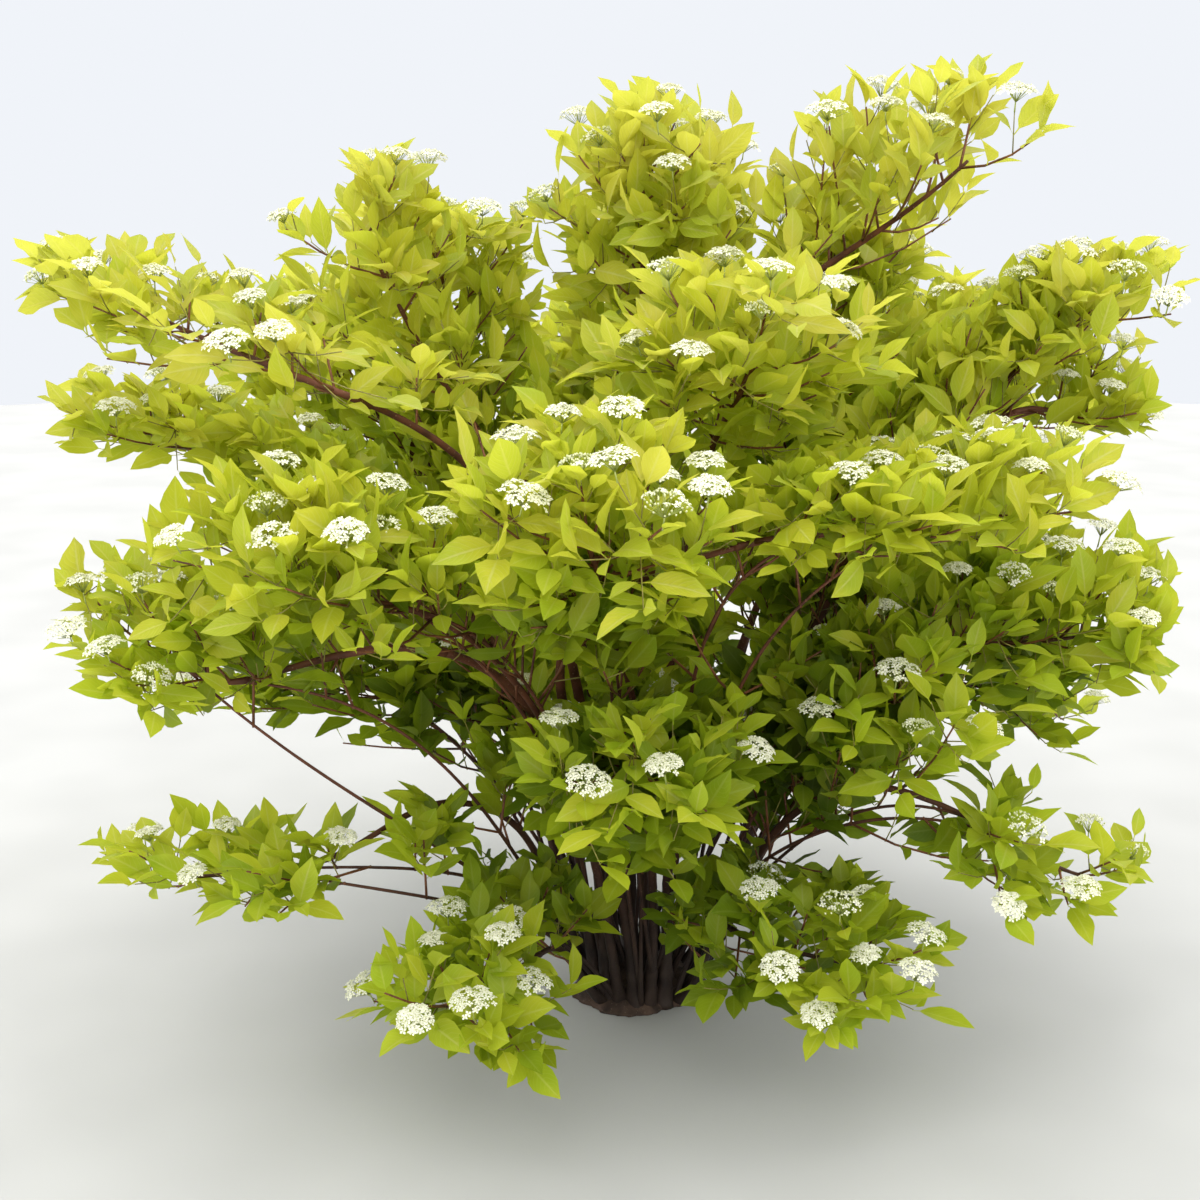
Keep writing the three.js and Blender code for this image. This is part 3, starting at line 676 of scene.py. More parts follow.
twig_parts = []
for index, mass in enumerate(MASSES):
    count = max(5, int(mass["length"] / NODE_STEP))
    shares = (np.arange(count) + 0.8) / (count + 0.3)
    points, tangents = along(mass["curve"], shares)
    for side in (0, 1):
        turn = np.radians(45 + 90 * np.arange(count) + 180 * side) + rng.uniform(-0.4, 0.4, count)
        flat = 1 - 0.8 * np.abs(tangents[:, 2]) if mass["lift"] > 6 else 0.5
        rising = rng.uniform(0.2, 0.95, count) * flat
        way = blend((tangents, 0.42), (side_of(tangents, turn), 0.85), (UP, rising))
        length = TWIG_LENGTH * (1.15 - 0.3 * shares) * rng.uniform(1.0, 2.1, count)
        twig_parts.append((points, way, length, rng.uniform(0.05, 0.4, count), np.full(count, index)))
spine_twigs = fitted(put_together(twig_parts), rng)
tips, tip_ways = (np.concatenate(ends) for ends in zip(*[along(mass["curve"], [0.96]) for mass in MASSES]))
tip_ways = blend((tip_ways, 1.0), (UP, 0.3))
tip_length = rng.uniform(0.09, 0.16, len(MASSES))
tip_lift = np.full(len(MASSES), 0.2)
tip_twigs = fitted((tips, tip_ways, tip_length, tip_lift, np.arange(len(MASSES))), rng)

# The share of a limb, from its start, that bears no leafy twigs of its own.
BARE_STEM = 0.52
BARE_BOUGH = 0.25
bough_parts = []
for limb in LIMBS + young:
    first = limb.get("bare", BARE_BOUGH if "parent" in limb else BARE_STEM)
    count = int(limb["length"] * (LIMB_END - first) / BOUGH_STEP)
    shares = first + (LIMB_END - first) * (np.arange(count) + rng.uniform(0.2, 0.8, count)) / count
    points, tangents = along(limb["curve"], shares)
    for side in (0, 1):
        turn = np.radians(90 * np.arange(count) + 180 * side) + rng.uniform(-0.5, 0.5, count)
        rising = rng.uniform(0.1, 0.7, count)
        way = blend((tangents, 0.45), (side_of(tangents, turn), 0.8), (UP, rising))
        length = rng.uniform(0.1, 0.24, count)
        ends = points + way * length[:, None] * 0.7
        gaps = gaps_between(ends, mass_traces.reshape(-1, 3))
        owner = gaps.reshape(count, len(MASSES), -1).min(axis=2).argmin(axis=1)
        bough_parts.append((points, way, length, rng.uniform(0.05, 0.4, count), owner))
bough_twigs = fitted(put_together(bough_parts), rng)
twigs = put_together((spine_twigs, tip_twigs, bough_twigs))
twigs = kept(rng.uniform(size=len(twigs[0])) < kept_share[twigs[4]], *twigs)

# Along a twig, each pair of shoots is turned on from the last, by so much for its
# whole length, in radians.
TURN_ALONG = 7.5
shoot_parts = []
for share, spread in ((0.26, 0.62), (0.48, 0.6), (0.68, 0.56), (0.87, 0.5)):
    turn = np.full(len(twigs[0]), share * TURN_ALONG)
    roots, ways, owner = pairs_on(*twigs, share, turn, spread, rng)
    ways = blend((ways, 1.0), (UP, rng.uniform(0.1, 0.8, len(ways))))
    reach = rng.uniform(0.045, 0.105, len(roots)) * (1.15 - 0.4 * share)
    grown = rng.uniform(size=len(roots)) < SHOOT_SHARE
    bearer = np.tile(np.arange(len(twigs[0])), 2)
    lift = rng.uniform(0.1, 0.4, len(roots))
    shoot_parts.append(kept(grown, roots, ways, reach, lift, owner, bearer, np.full(len(roots), share)))
shoots = fitted(put_together(shoot_parts), rng, 0.75)

GAP_TRIES = 420
GAP_EDGE = 0.04
GAP_CLEAR = 0.046
GAP_REACH = 0.17
SEAT_SHARES = np.array([0.25, 0.4, 0.55, 0.7, 0.85])


def gap_shoots(rng):
    """Where a mass's own space is still empty, a further shoot from the nearest twig:
    points strewn round each spine, less those near a twig or a shoot or near another
    such point, are joined to the nearest place on a twig of their mass."""
    ways = unit(rng.normal(size=(len(MASSES) * GAP_TRIES, 3)))
    owner = np.repeat(np.arange(len(MASSES)), GAP_TRIES)
    far = rng.uniform(size=len(ways)) ** (1 / 3) * (spread_of[owner] - GAP_EDGE)
    goals = mass_traces[owner, rng.integers(0, SPINE_PLACES, len(owner))] + ways * far[:, None]
    goals, owner = kept(is_own(goals, owner) & (kept_share[owner] == 1), goals, owner)
    grown = np.concatenate([
        shoot_point(*group[:4], share)
        for group, shares in ((twigs, (0.37, 0.58, 0.79, 0.98)), (shoots, (0.5, 0.96))) for share in shares
    ])
    empty = np.ones(len(goals), bool)
    for some in parts_of(len(goals), AT_ONCE // 8):
        empty[some] = gaps_between(goals[some], grown).min(axis=1) > GAP_CLEAR
    goals, owner = kept(empty, goals, owner)
    apart = []
    for i in range(len(goals)):
        if not apart or np.linalg.norm(goals[apart] - goals[i], axis=1).min() > GAP_CLEAR * 1.15:
            apart.append(i)
    goals, owner = kept(apart, goals, owner)
    seats = np.concatenate([shoot_point(*twigs[:4], share) for share in SEAT_SHARES])
    bearer = np.tile(np.arange(len(twigs[0])), len(SEAT_SHARES))
    gaps = np.where(twigs[4][bearer] == owner[:, None], gaps_between(goals, seats), np.inf)
    seat = gaps.argmin(axis=1)
    reach = gaps[np.arange(len(goals)), seat]
    goals, owner, seat, reach = kept(reach < GAP_REACH, goals, owner, seat, reach)
    lift = rng.uniform(0.1, 0.3, len(goals))
    way = unit(goals - seats[seat] - UP * (lift * reach)[:, None])
    share = np.repeat(SEAT_SHARES, len(twigs[0]))[seat]
    return fitted((seats[seat], way, reach, lift, owner, bearer[seat], share), rng, 0.65)


*shoots, shoot_bearer, shoot_share = put_together((shoots, gap_shoots(rng)))


def twig_skins(shoots, wide, narrow, sides, rings, inset, upto=1.0):
    """Tapering tubes along the shoots' middle lines, all at once. inset is how far
    each starts before its root, inside what bears it, and upto how much is built."""
    start, way, length, lift, _ = shoots
    share = np.linspace(0, 1, rings)
    points = np.stack([shoot_point(start, way, length, lift, s * upto) for s in share], 1)
    tangents = np.stack([shoot_way(way, lift, s * upto) for s in share], 1)
    points[:, 0] -= way * inset
    across = side_of(way, np.zeros(len(way)))[:, None]
    across = unit(across - tangents * (tangents * across).sum(-1, keepdims=True))
    other = np.cross(tangents, across)
    turn = full_turn(sides)
    radius = wide + (narrow - wide) * share
    circle = np.cos(turn)[:, None] * across[:, :, None] + np.sin(turn)[:, None] * other[:, :, None]
    skin = points[:, :, None] + radius[:, None, None] * circle
    ends = np.stack([points[:, 0], points[:, -1] + tangents[:, -1] * narrow * 0.6], 1)
    skin = np.concatenate([skin.reshape(len(start), -1, 3), ends], 1)
    return skin.reshape(-1, 3), repeated(tube_faces(rings, sides), len(start), skin.shape[1])


SPINE_RADIUS = 0.0055
SPINE_TIP_RADIUS = 0.0026
SPINE_SIDES = 10
SPINE_STEP = 0.012


def spine_skin(mass):
    """A mass's spine: a circle carried along its curve, thinning to its end, with a
    swelling at each pair of twigs."""
    rings = max(6, int(mass["length"] / SPINE_STEP))
    share = np.linspace(-0.02, 1, rings)
    points, tangents = along(mass["curve"], np.clip(share, 0, 1))
    base = limb_named[mass["limb"]]["radii"][1] if "at" not in mass else SPINE_RADIUS
    radius = base + (SPINE_TIP_RADIUS - base) * np.clip(share, 0, 1) ** 0.8
    radius = radius * (1 + 0.06 * np.sin(share * mass["length"] / NODE_STEP * 2 * np.pi))
    skin = rings_round(points, tangents, radius[:, None], SPINE_SIDES)
    return np.concatenate([skin.reshape(-1, 3), points[:1], points[-1:]]), tube_faces(rings, SPINE_SIDES)


spine_piece = new_piece("leafy_boughs", *join_tables([spine_skin(mass) for mass in MASSES]))
spine_piece.data.materials.append(red_bark)
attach(spine_piece, "root")
twig_bark = bark_material(
    "twig_bark", (0.09, 0.028, 0.014), (0.22, 0.085, 0.035), (0.26, 0.15, 0.07), 0.5, 40.0, 0.4, 0.3
)
green_twig = bark_material(
    "green_twig", (0.16, 0.15, 0.03), (0.30, 0.26, 0.06), (0.34, 0.30, 0.12), 0.5, 60.0, 0.3, 0.2
)


# Leaves: broad, pointed, in opposite pairs, folded along the midrib, bent down at
# the tip and wavy at the edge. They are golden where the light falls and green in
# the shade, and their colours also hold painted light and shade, paler high and
# outside and darker within the crown, so each shoot's leaves share one of a few colours.
LEAF_ROWS = np.array([0.0, 0.12, 0.3, 0.5, 0.7, 0.89])
LEAF_WIDTHS = np.array([0.02, 0.145, 0.24, 0.26, 0.2, 0.075])
FINE_COLUMNS = np.array([-1.0, -0.55, 0.0, 0.55, 1.0])
PLAIN_COLUMNS = np.array([-1.0, 0.0, 1.0])
STALK_SHARE = 0.14
STALK_HALF = 0.011
COLLAR_HALF = 0.016
LOWEST_SLOPE = -0.05
QUARTER = np.pi / 2


def leaf_table(columns):
    """A leaf's points as (how far along, how far across as a share of the half
    width), and its triangles: a stalk, the rows of the blade, and the point."""
    wide = len(columns)
    middle = 2 + wide // 2
    u = [np.full(2, -1.0)] + [np.full(wide, row) for row in LEAF_ROWS] + [np.array([1.0])]
    v = [np.array([-1.0, 1.0])] + [columns] * len(LEAF_ROWS) + [np.array([0.0])]
    faces = [[0, 1, middle], [0, middle, 2], [1, wide + 1, middle]]
    for row in range(len(LEAF_ROWS) - 1):
        for column in range(wide - 1):
            a = 2 + wide * row + column
            faces += [[a, a + 1, a + wide + 1], [a, a + wide + 1, a + wide]]
    last = 2 + wide * (len(LEAF_ROWS) - 1)
    faces += [[last + column, last + column + 1, last + wide] for column in range(wide - 1)]
    return np.concatenate(u), np.concatenate(v), np.array(faces)


def leaf_skins(root, way, face, length, rng, columns):
    """All leaves of a list at once. The midrib is an arc, the blade's halves rise
    from it by the fold, and the edge waves up and down. A stalk of a seventh of the
    length leads to the blade."""
    u, v, faces = leaf_table(columns)
    count = len(root)
    bend, fold, wave, phase = (
        rng.uniform(low, high, count)[:, None]
        for low, high in ((0.05, 0.6), (0.05, 0.5), (0.0, 0.05), (0, 2 * np.pi))
    )
    twist = rng.normal(0, 0.25, count)[:, None]
    broad = rng.uniform(0.85, 1.12, count)[:, None]
    across = np.cross(face, way)
    blade = np.maximum(u, 0)
    stalk = np.minimum(u, 0)
    half = np.interp(blade, LEAF_ROWS.tolist() + [1.0], LEAF_WIDTHS.tolist() + [0.0])
    half = np.where(u < 0, STALK_HALF, np.where(u == 0, COLLAR_HALF, half * broad))
    x = np.sin(bend * blade) / bend + stalk * STALK_SHARE
    y = half * v * np.cos(fold)
    ripple = np.sin(9 * blade + phase + 2 * np.sign(v))
    z = (np.cos(bend * blade) - 1) / bend + stalk * 0.03
    z = z + half * np.abs(v) * np.sin(fold) + wave * np.abs(v) * half * 4 * ripple
    roll = twist * blade
    y, z = y * np.cos(roll) - z * np.sin(roll) * 0.3, z + y * np.sin(roll)
    x = x + STALK_SHARE
    skin = root[:, None] + length[:, None, None] * (
        x[..., None] * way[:, None] + y[..., None] * across[:, None] + z[..., None] * face[:, None]
    )
    uv = np.broadcast_to(np.stack([blade, v * 0.5 + 0.5], 1), (count, len(u), 2))
    return skin.reshape(-1, 3), repeated(faces, count, len(u)), uv.reshape(-1, 2)


def leaf_pairs(shoots, share, turn, spread, size, first_spray, rng):
    """A pair of leaves at one share of each shoot: where each is fixed, the way that
    it points and faces, its length, its mass, its spray, and the share."""
    root, way, mass = pairs_on(*shoots, share, turn, spread, rng)
    spray = np.tile(np.arange(len(shoots[0])), 2) + first_spray
    stem = np.tile(shoot_way(shoots[1], shoots[3], share), (2, 1))
    rising = rng.uniform(0.0, 0.5, len(way)) + 0.35 * (share > 0.9)
    way = blend((way, 1.0), (UP, rising))
    way[:, 2] = np.maximum(way[:, 2], LOWEST_SLOPE)
    way = unit(way)
    length = size * rng.uniform(0.7, 1.35, len(way))
    face = unit(UP + 0.7 * stem + rng.normal(0, 0.35, way.shape))
    face = unit(face - way * (face * way).sum(1, keepdims=True))
    return root, way, face, length, mass, spray, np.full(len(root), share)


# Where the pairs sit on a twig and on a shoot: the share of its length, a turn about
# it, how far they lean out, and the leaves' length.
TWIG_PAIRS = (
    (0.37, 0.0, 0.56, 0.062), (0.58, QUARTER, 0.54, 0.067),
    (0.79, 0.2, 0.5, 0.067), (0.98, QUARTER, 0.42, 0.06),
)
SHOOT_PAIRS = ((0.5, QUARTER, 0.54, 0.065), (0.96, 0.2, 0.44, 0.062))
SHOOT_SPRAYS = 10000
leaf_parts = []
for number, (group, plan) in enumerate(((twigs, TWIG_PAIRS), (shoots, SHOOT_PAIRS))):
    for share, turn, spread, size in plan:
        turns = rng.uniform(0, 0.4, len(group[0])) + turn + number
        leaf_parts.append(leaf_pairs(group, share, turns, spread, size, number * SHOOT_SPRAYS, rng))
leaves = put_together(leaf_parts)
root, way, face, length, mass, spray, at = leaves
own = is_own(root + way * length[:, None] * 1.08 - face * length[:, None] * 0.25, mass)
own &= is_own(root + way * length[:, None] * 0.6, mass)
leaves = kept(own, *leaves)


def spots_on(leaves, share):
    """A point of each leaf's middle line, at a share of its length."""
    return leaves[0] + leaves[1] * (leaves[3] * share)[:, None]


# The directions that the sky's light comes from, each with its weight. Leaves are
# counted in cubes of this size, with this much air round the crown.
SKY = (
    [(direction(0, 90), 1.0)]
    + [(direction(azimuth, 50), 0.5) for azimuth in range(0, 360, 60)]
    + [(direction(azimuth, 15), 0.22) for azimuth in range(30, 390, 60)]
)
CUBE = 0.05
AIR = 0.4
LIGHT_FROM = 0.06
LIGHT_TO = 0.55
DIMMING = 0.3


def light_at(points, crowd):
    """How much sky each point sees: leaves are counted in cubes, and along each of
    several directions the light is dimmed by the leaves in the cubes it crosses."""
    low = crowd.min(axis=0) - AIR
    shape = np.ceil((crowd.max(axis=0) + AIR - low) / CUBE).astype(int)
    cubes = np.zeros(shape)
    np.add.at(cubes, tuple(((crowd - low) / CUBE).astype(int).T), 1.0)
    light = np.zeros(len(points))
    for way, weight in SKY:
        crossed = np.zeros(len(points))
        for run in np.arange(LIGHT_FROM, LIGHT_TO, CUBE * 0.8):
            spot = ((points + way * run - low) / CUBE).astype(int)
            inside = ((spot >= 0) & (spot < shape)).all(axis=1)
            spot = np.clip(spot, 0, shape - 1)
            crossed += np.where(inside, cubes[tuple(spot.T)], 0)
        light += weight * np.exp(-DIMMING * crossed)
    return light / sum(weight for _, weight in SKY)


# A flower head's place, its axis, its size and its stalk. Leaves that would stand
# in its way aren't grown.
HEAD_RADIUS = 0.0295
HEADS_IN_MASS = 11
HEAD_APART = 0.068
HEAD_CLEAR = 0.8
HEAD_BELOW_TOP = 0.05
LEAFY_WITHIN = 0.03
LEAST_LIGHT = 0.1


def flower_sites(rng):
    """Leafy tips of twigs and shoots in good light: the best few of each mass, no two
    nearer than a head and a little more."""
    groups = (twigs, shoots)
    tips = np.concatenate([shoot_point(*group[:4], 1.0) for group in groups])
    ways = np.concatenate([shoot_way(group[1], group[3], 1.0) for group in groups])
    owner = np.concatenate([group[4] for group in groups])
    light = light_at(tips + UP * 0.03, spots_on(leaves, 0.5))
    near = np.zeros(len(tips), int)
    for some in parts_of(len(tips), AT_ONCE // 8):
        near[some] = (gaps_between(tips[some], leaves[0]) < LEAFY_WITHIN).sum(axis=1)
    score = light + rng.uniform(0, 0.3, len(tips)) + 0.15 * ways[:, 2]
    score[(near < 2) | (tips[:, 2] > HEIGHT - HEAD_BELOW_TOP)] = -1
    most = HEADS_IN_MASS * kept_share**2
    chosen = []
    taken = np.zeros(len(MASSES), int)
    for i in np.argsort(-score):
        if score[i] < LEAST_LIGHT or taken[owner[i]] >= most[owner[i]]:
            continue
        if all(np.linalg.norm(tips[i] - tips[j]) > HEAD_APART for j in chosen):
            chosen.append(i)
            taken[owner[i]] += 1
    return np.array(chosen), tips[chosen], ways[chosen]


chosen, sites, site_ways = flower_sites(rng)
heads = len(sites)
head_size = rng.uniform(0.75, 1.15, heads)
axis = blend((site_ways, 0.45), (UP, 1.0), (unit(rng.normal(size=(heads, 3))), 0.15))
stalk = rng.uniform(0.018, 0.03, heads)
middle = sites + axis * stalk[:, None]
clear = np.ones(len(leaves[0]), bool)
for share in (0.4, 0.7, 1.0):
    for above in (0.004, 0.03):
        gaps = gaps_between(spots_on(leaves, share), middle + UP * above)
        clear &= (gaps > HEAD_RADIUS * head_size * HEAD_CLEAR).all(axis=1)
leaves = kept(clear, *leaves)

# Some boughs are bare along their near side, with the leaves above and behind. Most
# leaves that would stand close before them, seen from the front, aren't grown.
CAMERA_PLACE = (-0.068, -2.65, 1.36)
SHOWN = [
    ("stem_upper_left", 0.4, 1), ("leaves_upper_left", 0, 0.75), ("stem_upper_right", 0.55, 1),
    ("leaves_upper_right", 0, 0.8), ("stem_right", 0.4, 1), ("bough_right_fork", 0, 1),
    ("leaves_right_fork", 0, 0.6), ("leaves_right", 0, 0.5), ("arm_cross", 0, 1), ("arm_left", 0, 1),
    ("leaves_left_arm", 0, 0.5), ("stem_centre", 0.7, 1), ("leaves_top_centre", 0, 0.5),
    ("stem_front_left", 0.5, 1), ("leaves_front_left", 0, 0.4), ("stem_mid_left", 0.5, 1),
]
SHOWN_SHARES = 45
SHOWN_HALF = 0.017
SHOWN_AHEAD = 0.2
KEPT_BEFORE = 0.22
curve_named = {part["name"]: part["curve"] for part in LIMBS + MASSES}
bare = [along(curve_named[name], np.linspace(first, last, SHOWN_SHARES))[0] for name, first, last in SHOWN]
bare = np.concatenate(bare)
sight = unit(np.array(CAMERA_PLACE) - bare)
before = np.zeros(len(leaves[0]), bool)
for share in (0.25, 0.6, 0.95):
    spot = spots_on(leaves, share)
    for some in parts_of(len(spot), AT_ONCE // 2):
        gap = spot[some, None] - bare
        ahead = (gap * sight).sum(-1)
        aside = np.linalg.norm(gap - ahead[..., None] * sight, axis=-1)
        before[some] |= ((ahead > -0.01) & (ahead < SHOWN_AHEAD) & (aside < SHOWN_HALF)).any(axis=1)
leaves = kept(~before | (rng.uniform(size=len(before)) < KEPT_BEFORE), *leaves)

# Of the leaves that see hardly any sky, most have dropped.
KEPT_IN_DARK = 0.3
FULLY_LEAFY_LIGHT = 0.05
leaf_light = light_at(spots_on(leaves, 0.5), spots_on(leaves, 0.5))
lit = rng.uniform(size=len(leaf_light)) < KEPT_IN_DARK + leaf_light / FULLY_LEAFY_LIGHT
leaves = kept(lit, *leaves)
leaf_light = leaf_light[lit]
root, way, face, length, mass, spray, at = leaves

# A twig or shoot is built as far as the last leaf, shoot or flower head that it
# bears. Twigs are of red-brown wood and shoots of green.
used = np.zeros(len(twigs[0]))
shoot_used = np.zeros(len(shoots[0]))
of_shoot = spray >= SHOOT_SPRAYS
np.maximum.at(shoot_used, spray[of_shoot] - SHOOT_SPRAYS, at[of_shoot])
shoot_used[chosen[chosen >= len(used)] - len(used)] = 1
leafy = shoot_used > 0
np.maximum.at(used, shoot_bearer[leafy], shoot_share[leafy])
np.maximum.at(used, spray[~of_shoot], at[~of_shoot])
used[chosen[chosen < len(used)]] = 1
for name, group, share, wide, narrow, sides, rings, bark in (
    ("twigs", twigs, used, 0.0023, 0.0014, 5, 4, twig_bark),
    ("shoots", shoots, shoot_used, 0.0013, 0.0009, 3, 3, green_twig),
):
    upto = np.minimum(share[share > 0] + 0.02, 1)
    skins = twig_skins(kept(share > 0, *group), wide, narrow, sides, rings, wide * 1.5, upto)
    piece = new_piece(name, *skins)
    piece.data.materials.append(bark)
    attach(piece, "root")

# Leaf veins: a pale midrib, and side veins that leave it and bow towards the tip,
# with the blade swelling a little between them. Blotch is a fine cloud, Patch a
# broad one.
vein_group, vein_in, vein_out = new_group(
    "leaf_veins", [("Place", "Vector")], ["Veins", "Blotch", "Patch", "Height"]
)
split = node_of(vein_group, "ShaderNodeSeparateXYZ", Vector=vein_in.outputs["Place"])
from_rib = step(vein_group, "ABSOLUTE", step(vein_group, "SUBTRACT", split.outputs["Y"], 0.5))
from_rib = step(vein_group, "MULTIPLY", from_rib, 2.0)
bow = step(vein_group, "MULTIPLY", step(vein_group, "POWER", from_rib, 1.5), 0.36)
phase = step(vein_group, "MULTIPLY", step(vein_group, "SUBTRACT", split.outputs["X"], bow), 8.0)
saw = step(vein_group, "ABSOLUTE", step(vein_group, "SUBTRACT", step(vein_group, "FRACT", phase), 0.5))
side_veins = step(vein_group, "MULTIPLY", between(vein_group, saw, 0.1, 0.0), 0.7)
veins = step(vein_group, "MAXIMUM", side_veins, between(vein_group, from_rib, 0.12, 0.03))
blotch, patch = (
    node_of(vein_group, "ShaderNodeTexNoise", Vector=object_place(vein_group), Scale=scale, Detail=0.0)
    for scale in (38.0, 13.0)
)
joined(
    vein_group, vein_out, Veins=veins, Blotch=blotch.outputs["Fac"], Patch=patch.outputs["Fac"],
    Height=step(vein_group, "SUBTRACT", step(vein_group, "MULTIPLY", saw, 1.2), veins),
)


def light_through(tree, shader, glow, share):
    """A share of the light goes through a thin blade, coloured by glow."""
    through = node_of(tree, "ShaderNodeBsdfTranslucent", Color=(*glow, 1))
    both = node_of(tree, "ShaderNodeMixShader", Fac=share)
    joined(tree, both, i1=shader.outputs["BSDF"], i2=through.outputs["BSDF"])
    joined(tree, tree.nodes["Material Output"], Surface=both.outputs[0])


def leaf_material(name, deep, bright, vein, glow, relief):
    """A leaf's two shades mixed by blotches, warmer and cooler in patches, and paler
    on its veins. With relief, its veins are sunk a little."""
    material, tree, shader = new_material(name)
    veins = tree.nodes.new("ShaderNodeGroup")
    veins.node_tree = vein_group
    uv = tree.nodes.new("ShaderNodeUVMap")
    uv.uv_map = "leaf"
    joined(tree, veins, Place=uv.outputs["UV"])
    shades = ramp(tree, veins.outputs["Blotch"], [(0.35, deep), (0.65, bright)])
    warmth = ramp(tree, veins.outputs["Patch"], [(0.38, (0.88, 1.0, 1.0)), (0.62, (1.1, 1.02, 1.0))])
    tinted = mixed_colour(tree, "MULTIPLY", 1.0, shades, warmth)
    vein_share = step(tree, "MULTIPLY", veins.outputs["Veins"], 0.7)
    colour = mixed_colour(tree, "MIX", vein_share, tinted, (*vein, 1))
    if relief:
        joined(tree, shader, Normal=sunk(tree, veins.outputs["Height"], 0.45, 0.0012))
    joined(tree, shader, Roughness=0.52, **{"Base Color": colour, "Specular IOR Level": 0.25})
    light_through(tree, shader, glow, 0.54)
    return material


# From the deepest painted shade to full painted light: name, dark blotches, bright
# blotches, veins and the light that comes through. The last two have finer blades.
LEAF_TINTS = [
    ("leaf_deep_shade",
     (0.064, 0.096, 0.005), (0.098, 0.136, 0.008), (0.16, 0.21, 0.04), (0.17, 0.27, 0.008)),
    ("leaf_shade",
     (0.109, 0.156, 0.007), (0.158, 0.21, 0.010), (0.25, 0.31, 0.055), (0.26, 0.36, 0.01)),
    ("leaf_half_shade",
     (0.19, 0.246, 0.009), (0.254, 0.306, 0.015), (0.36, 0.41, 0.075), (0.39, 0.49, 0.015)),
    ("leaf_green_gold",
     (0.31, 0.38, 0.014), (0.38, 0.44, 0.024), (0.5, 0.54, 0.12), (0.53, 0.63, 0.028)),
    ("leaf_lime_gold",
     (0.385, 0.435, 0.019), (0.455, 0.495, 0.032), (0.57, 0.585, 0.16), (0.62, 0.675, 0.042)),
    ("leaf_gold",
     (0.43, 0.46, 0.026), (0.5, 0.515, 0.045), (0.61, 0.605, 0.2), (0.66, 0.68, 0.056)),
    ("leaf_pale_gold",
     (0.475, 0.48, 0.04), (0.55, 0.545, 0.075), (0.66, 0.635, 0.25), (0.7, 0.69, 0.082)),
]
TINT_SHARES = [0.08, 0.2, 0.36, 0.55, 0.77, 0.93]
FIRST_FINE = 5
# A spray's leaves are painted the brighter, as painted light and shade, the more sky it
# sees and the higher it stands. Below a level, height makes no more difference.
FROM_LIGHT = 0.9
FROM_HEIGHT = 1.15
LEVEL_BELOW = 0.5
sprays, which = np.unique(spray, return_inverse=True)
spray_light = np.bincount(which, leaf_light) / np.bincount(which)
spray_height = np.bincount(which, root[:, 2]) / np.bincount(which)
painted_brightness = FROM_LIGHT * np.sqrt(spray_light)
painted_brightness = painted_brightness + FROM_HEIGHT * np.maximum(spray_height, LEVEL_BELOW) / HEIGHT
painted_brightness = painted_brightness + rng.normal(0, 0.07, len(sprays))
tint = np.digitize(painted_brightness, np.quantile(painted_brightness, TINT_SHARES))[which]
mass_nodes = [mass["name"] for mass in MASSES]
for number, (name, deep, bright, vein, glow) in enumerate(LEAF_TINTS):
    fine = number >= FIRST_FINE
    mine = kept(tint == number, root, way, face, length)
    skin, faces, uv = leaf_skins(*mine, rng, FINE_COLUMNS if fine else PLAIN_COLUMNS)
    piece = new_piece(name.replace("leaf_", "leaves_in_"), skin, faces, uv)
    piece.data.materials.append(leaf_material(name, deep, bright, vein, glow, fine))
    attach(piece, "root")
    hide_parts(*mass_nodes)


# Flower heads: flat domes of tiny cream flowers with four petals each, on stalks
# that spread from a shoot's tip. They stand where a shoot reaches the light.
FLORETS = 70
CLUSTERS = 6
GOLDEN_ANGLE = 2.39996
CLUSTER_RING = 0.66
TO_CLUSTER = 0.16
DOME_RISE = 0.011
LUMP_RISE = 0.0042
HEADS_IN_BUD = 0.18
OPEN_IN_BUD = 0.25
OPEN_IN_FLOWER = 0.95
level = side_of(axis, rng.uniform(0, 6.28, heads))
third = np.cross(axis, level)
order = np.arange(FLORETS)
out = np.sqrt((order + 0.5) / FLORETS)
around = order * GOLDEN_ANGLE
spot = np.stack([out * np.cos(around), out * np.sin(around)], 1) + rng.normal(0, 0.035, (heads, FLORETS, 2))
# Seven smaller clusters make up a head: one in the middle and six round it.
ring = rng.uniform(0, 2 * np.pi, (heads, 1)) + np.arange(CLUSTERS) * np.pi / 3
ring = ring + rng.normal(0, 0.15, (heads, CLUSTERS))
centres = CLUSTER_RING * np.stack([np.cos(ring), np.sin(ring)], -1)
centres = centres * rng.uniform(0.85, 1.12, (heads, CLUSTERS, 1))
centres = np.concatenate([np.zeros((heads, 1, 2)), centres], 1)
gaps = np.linalg.norm(spot[:, :, None] - centres[:, None], axis=-1)
nearest = np.take_along_axis(centres, gaps.argmin(axis=2)[..., None], axis=1)
spot = spot + (nearest - spot) * TO_CLUSTER
off = spot - nearest
lump = 1 - (off**2).sum(-1) / 0.16
radius = HEAD_RADIUS * head_size
radial = spot[..., :1] * level[:, None] + spot[..., 1:] * third[:, None]
lean = off[..., :1] * level[:, None] + off[..., 1:] * third[:, None]
dome = head_size[:, None] * (DOME_RISE * (1 - (spot**2).sum(-1)) + LUMP_RISE * lump)
dome = dome + rng.normal(0, 0.0008, (heads, FLORETS))
floret = middle[:, None] + radial * radius[:, None, None] + axis[:, None] * dome[..., None]
floret_axis = unit(axis[:, None] + radial * 0.3 + lean * 1.3 + rng.normal(0, 0.14, floret.shape))
draws = rng.uniform(size=(heads, FLORETS))
in_bud = rng.uniform(size=heads) < HEADS_IN_BUD
is_open = draws < np.where(in_bud, OPEN_IN_BUD, OPEN_IN_FLOWER)[:, None]


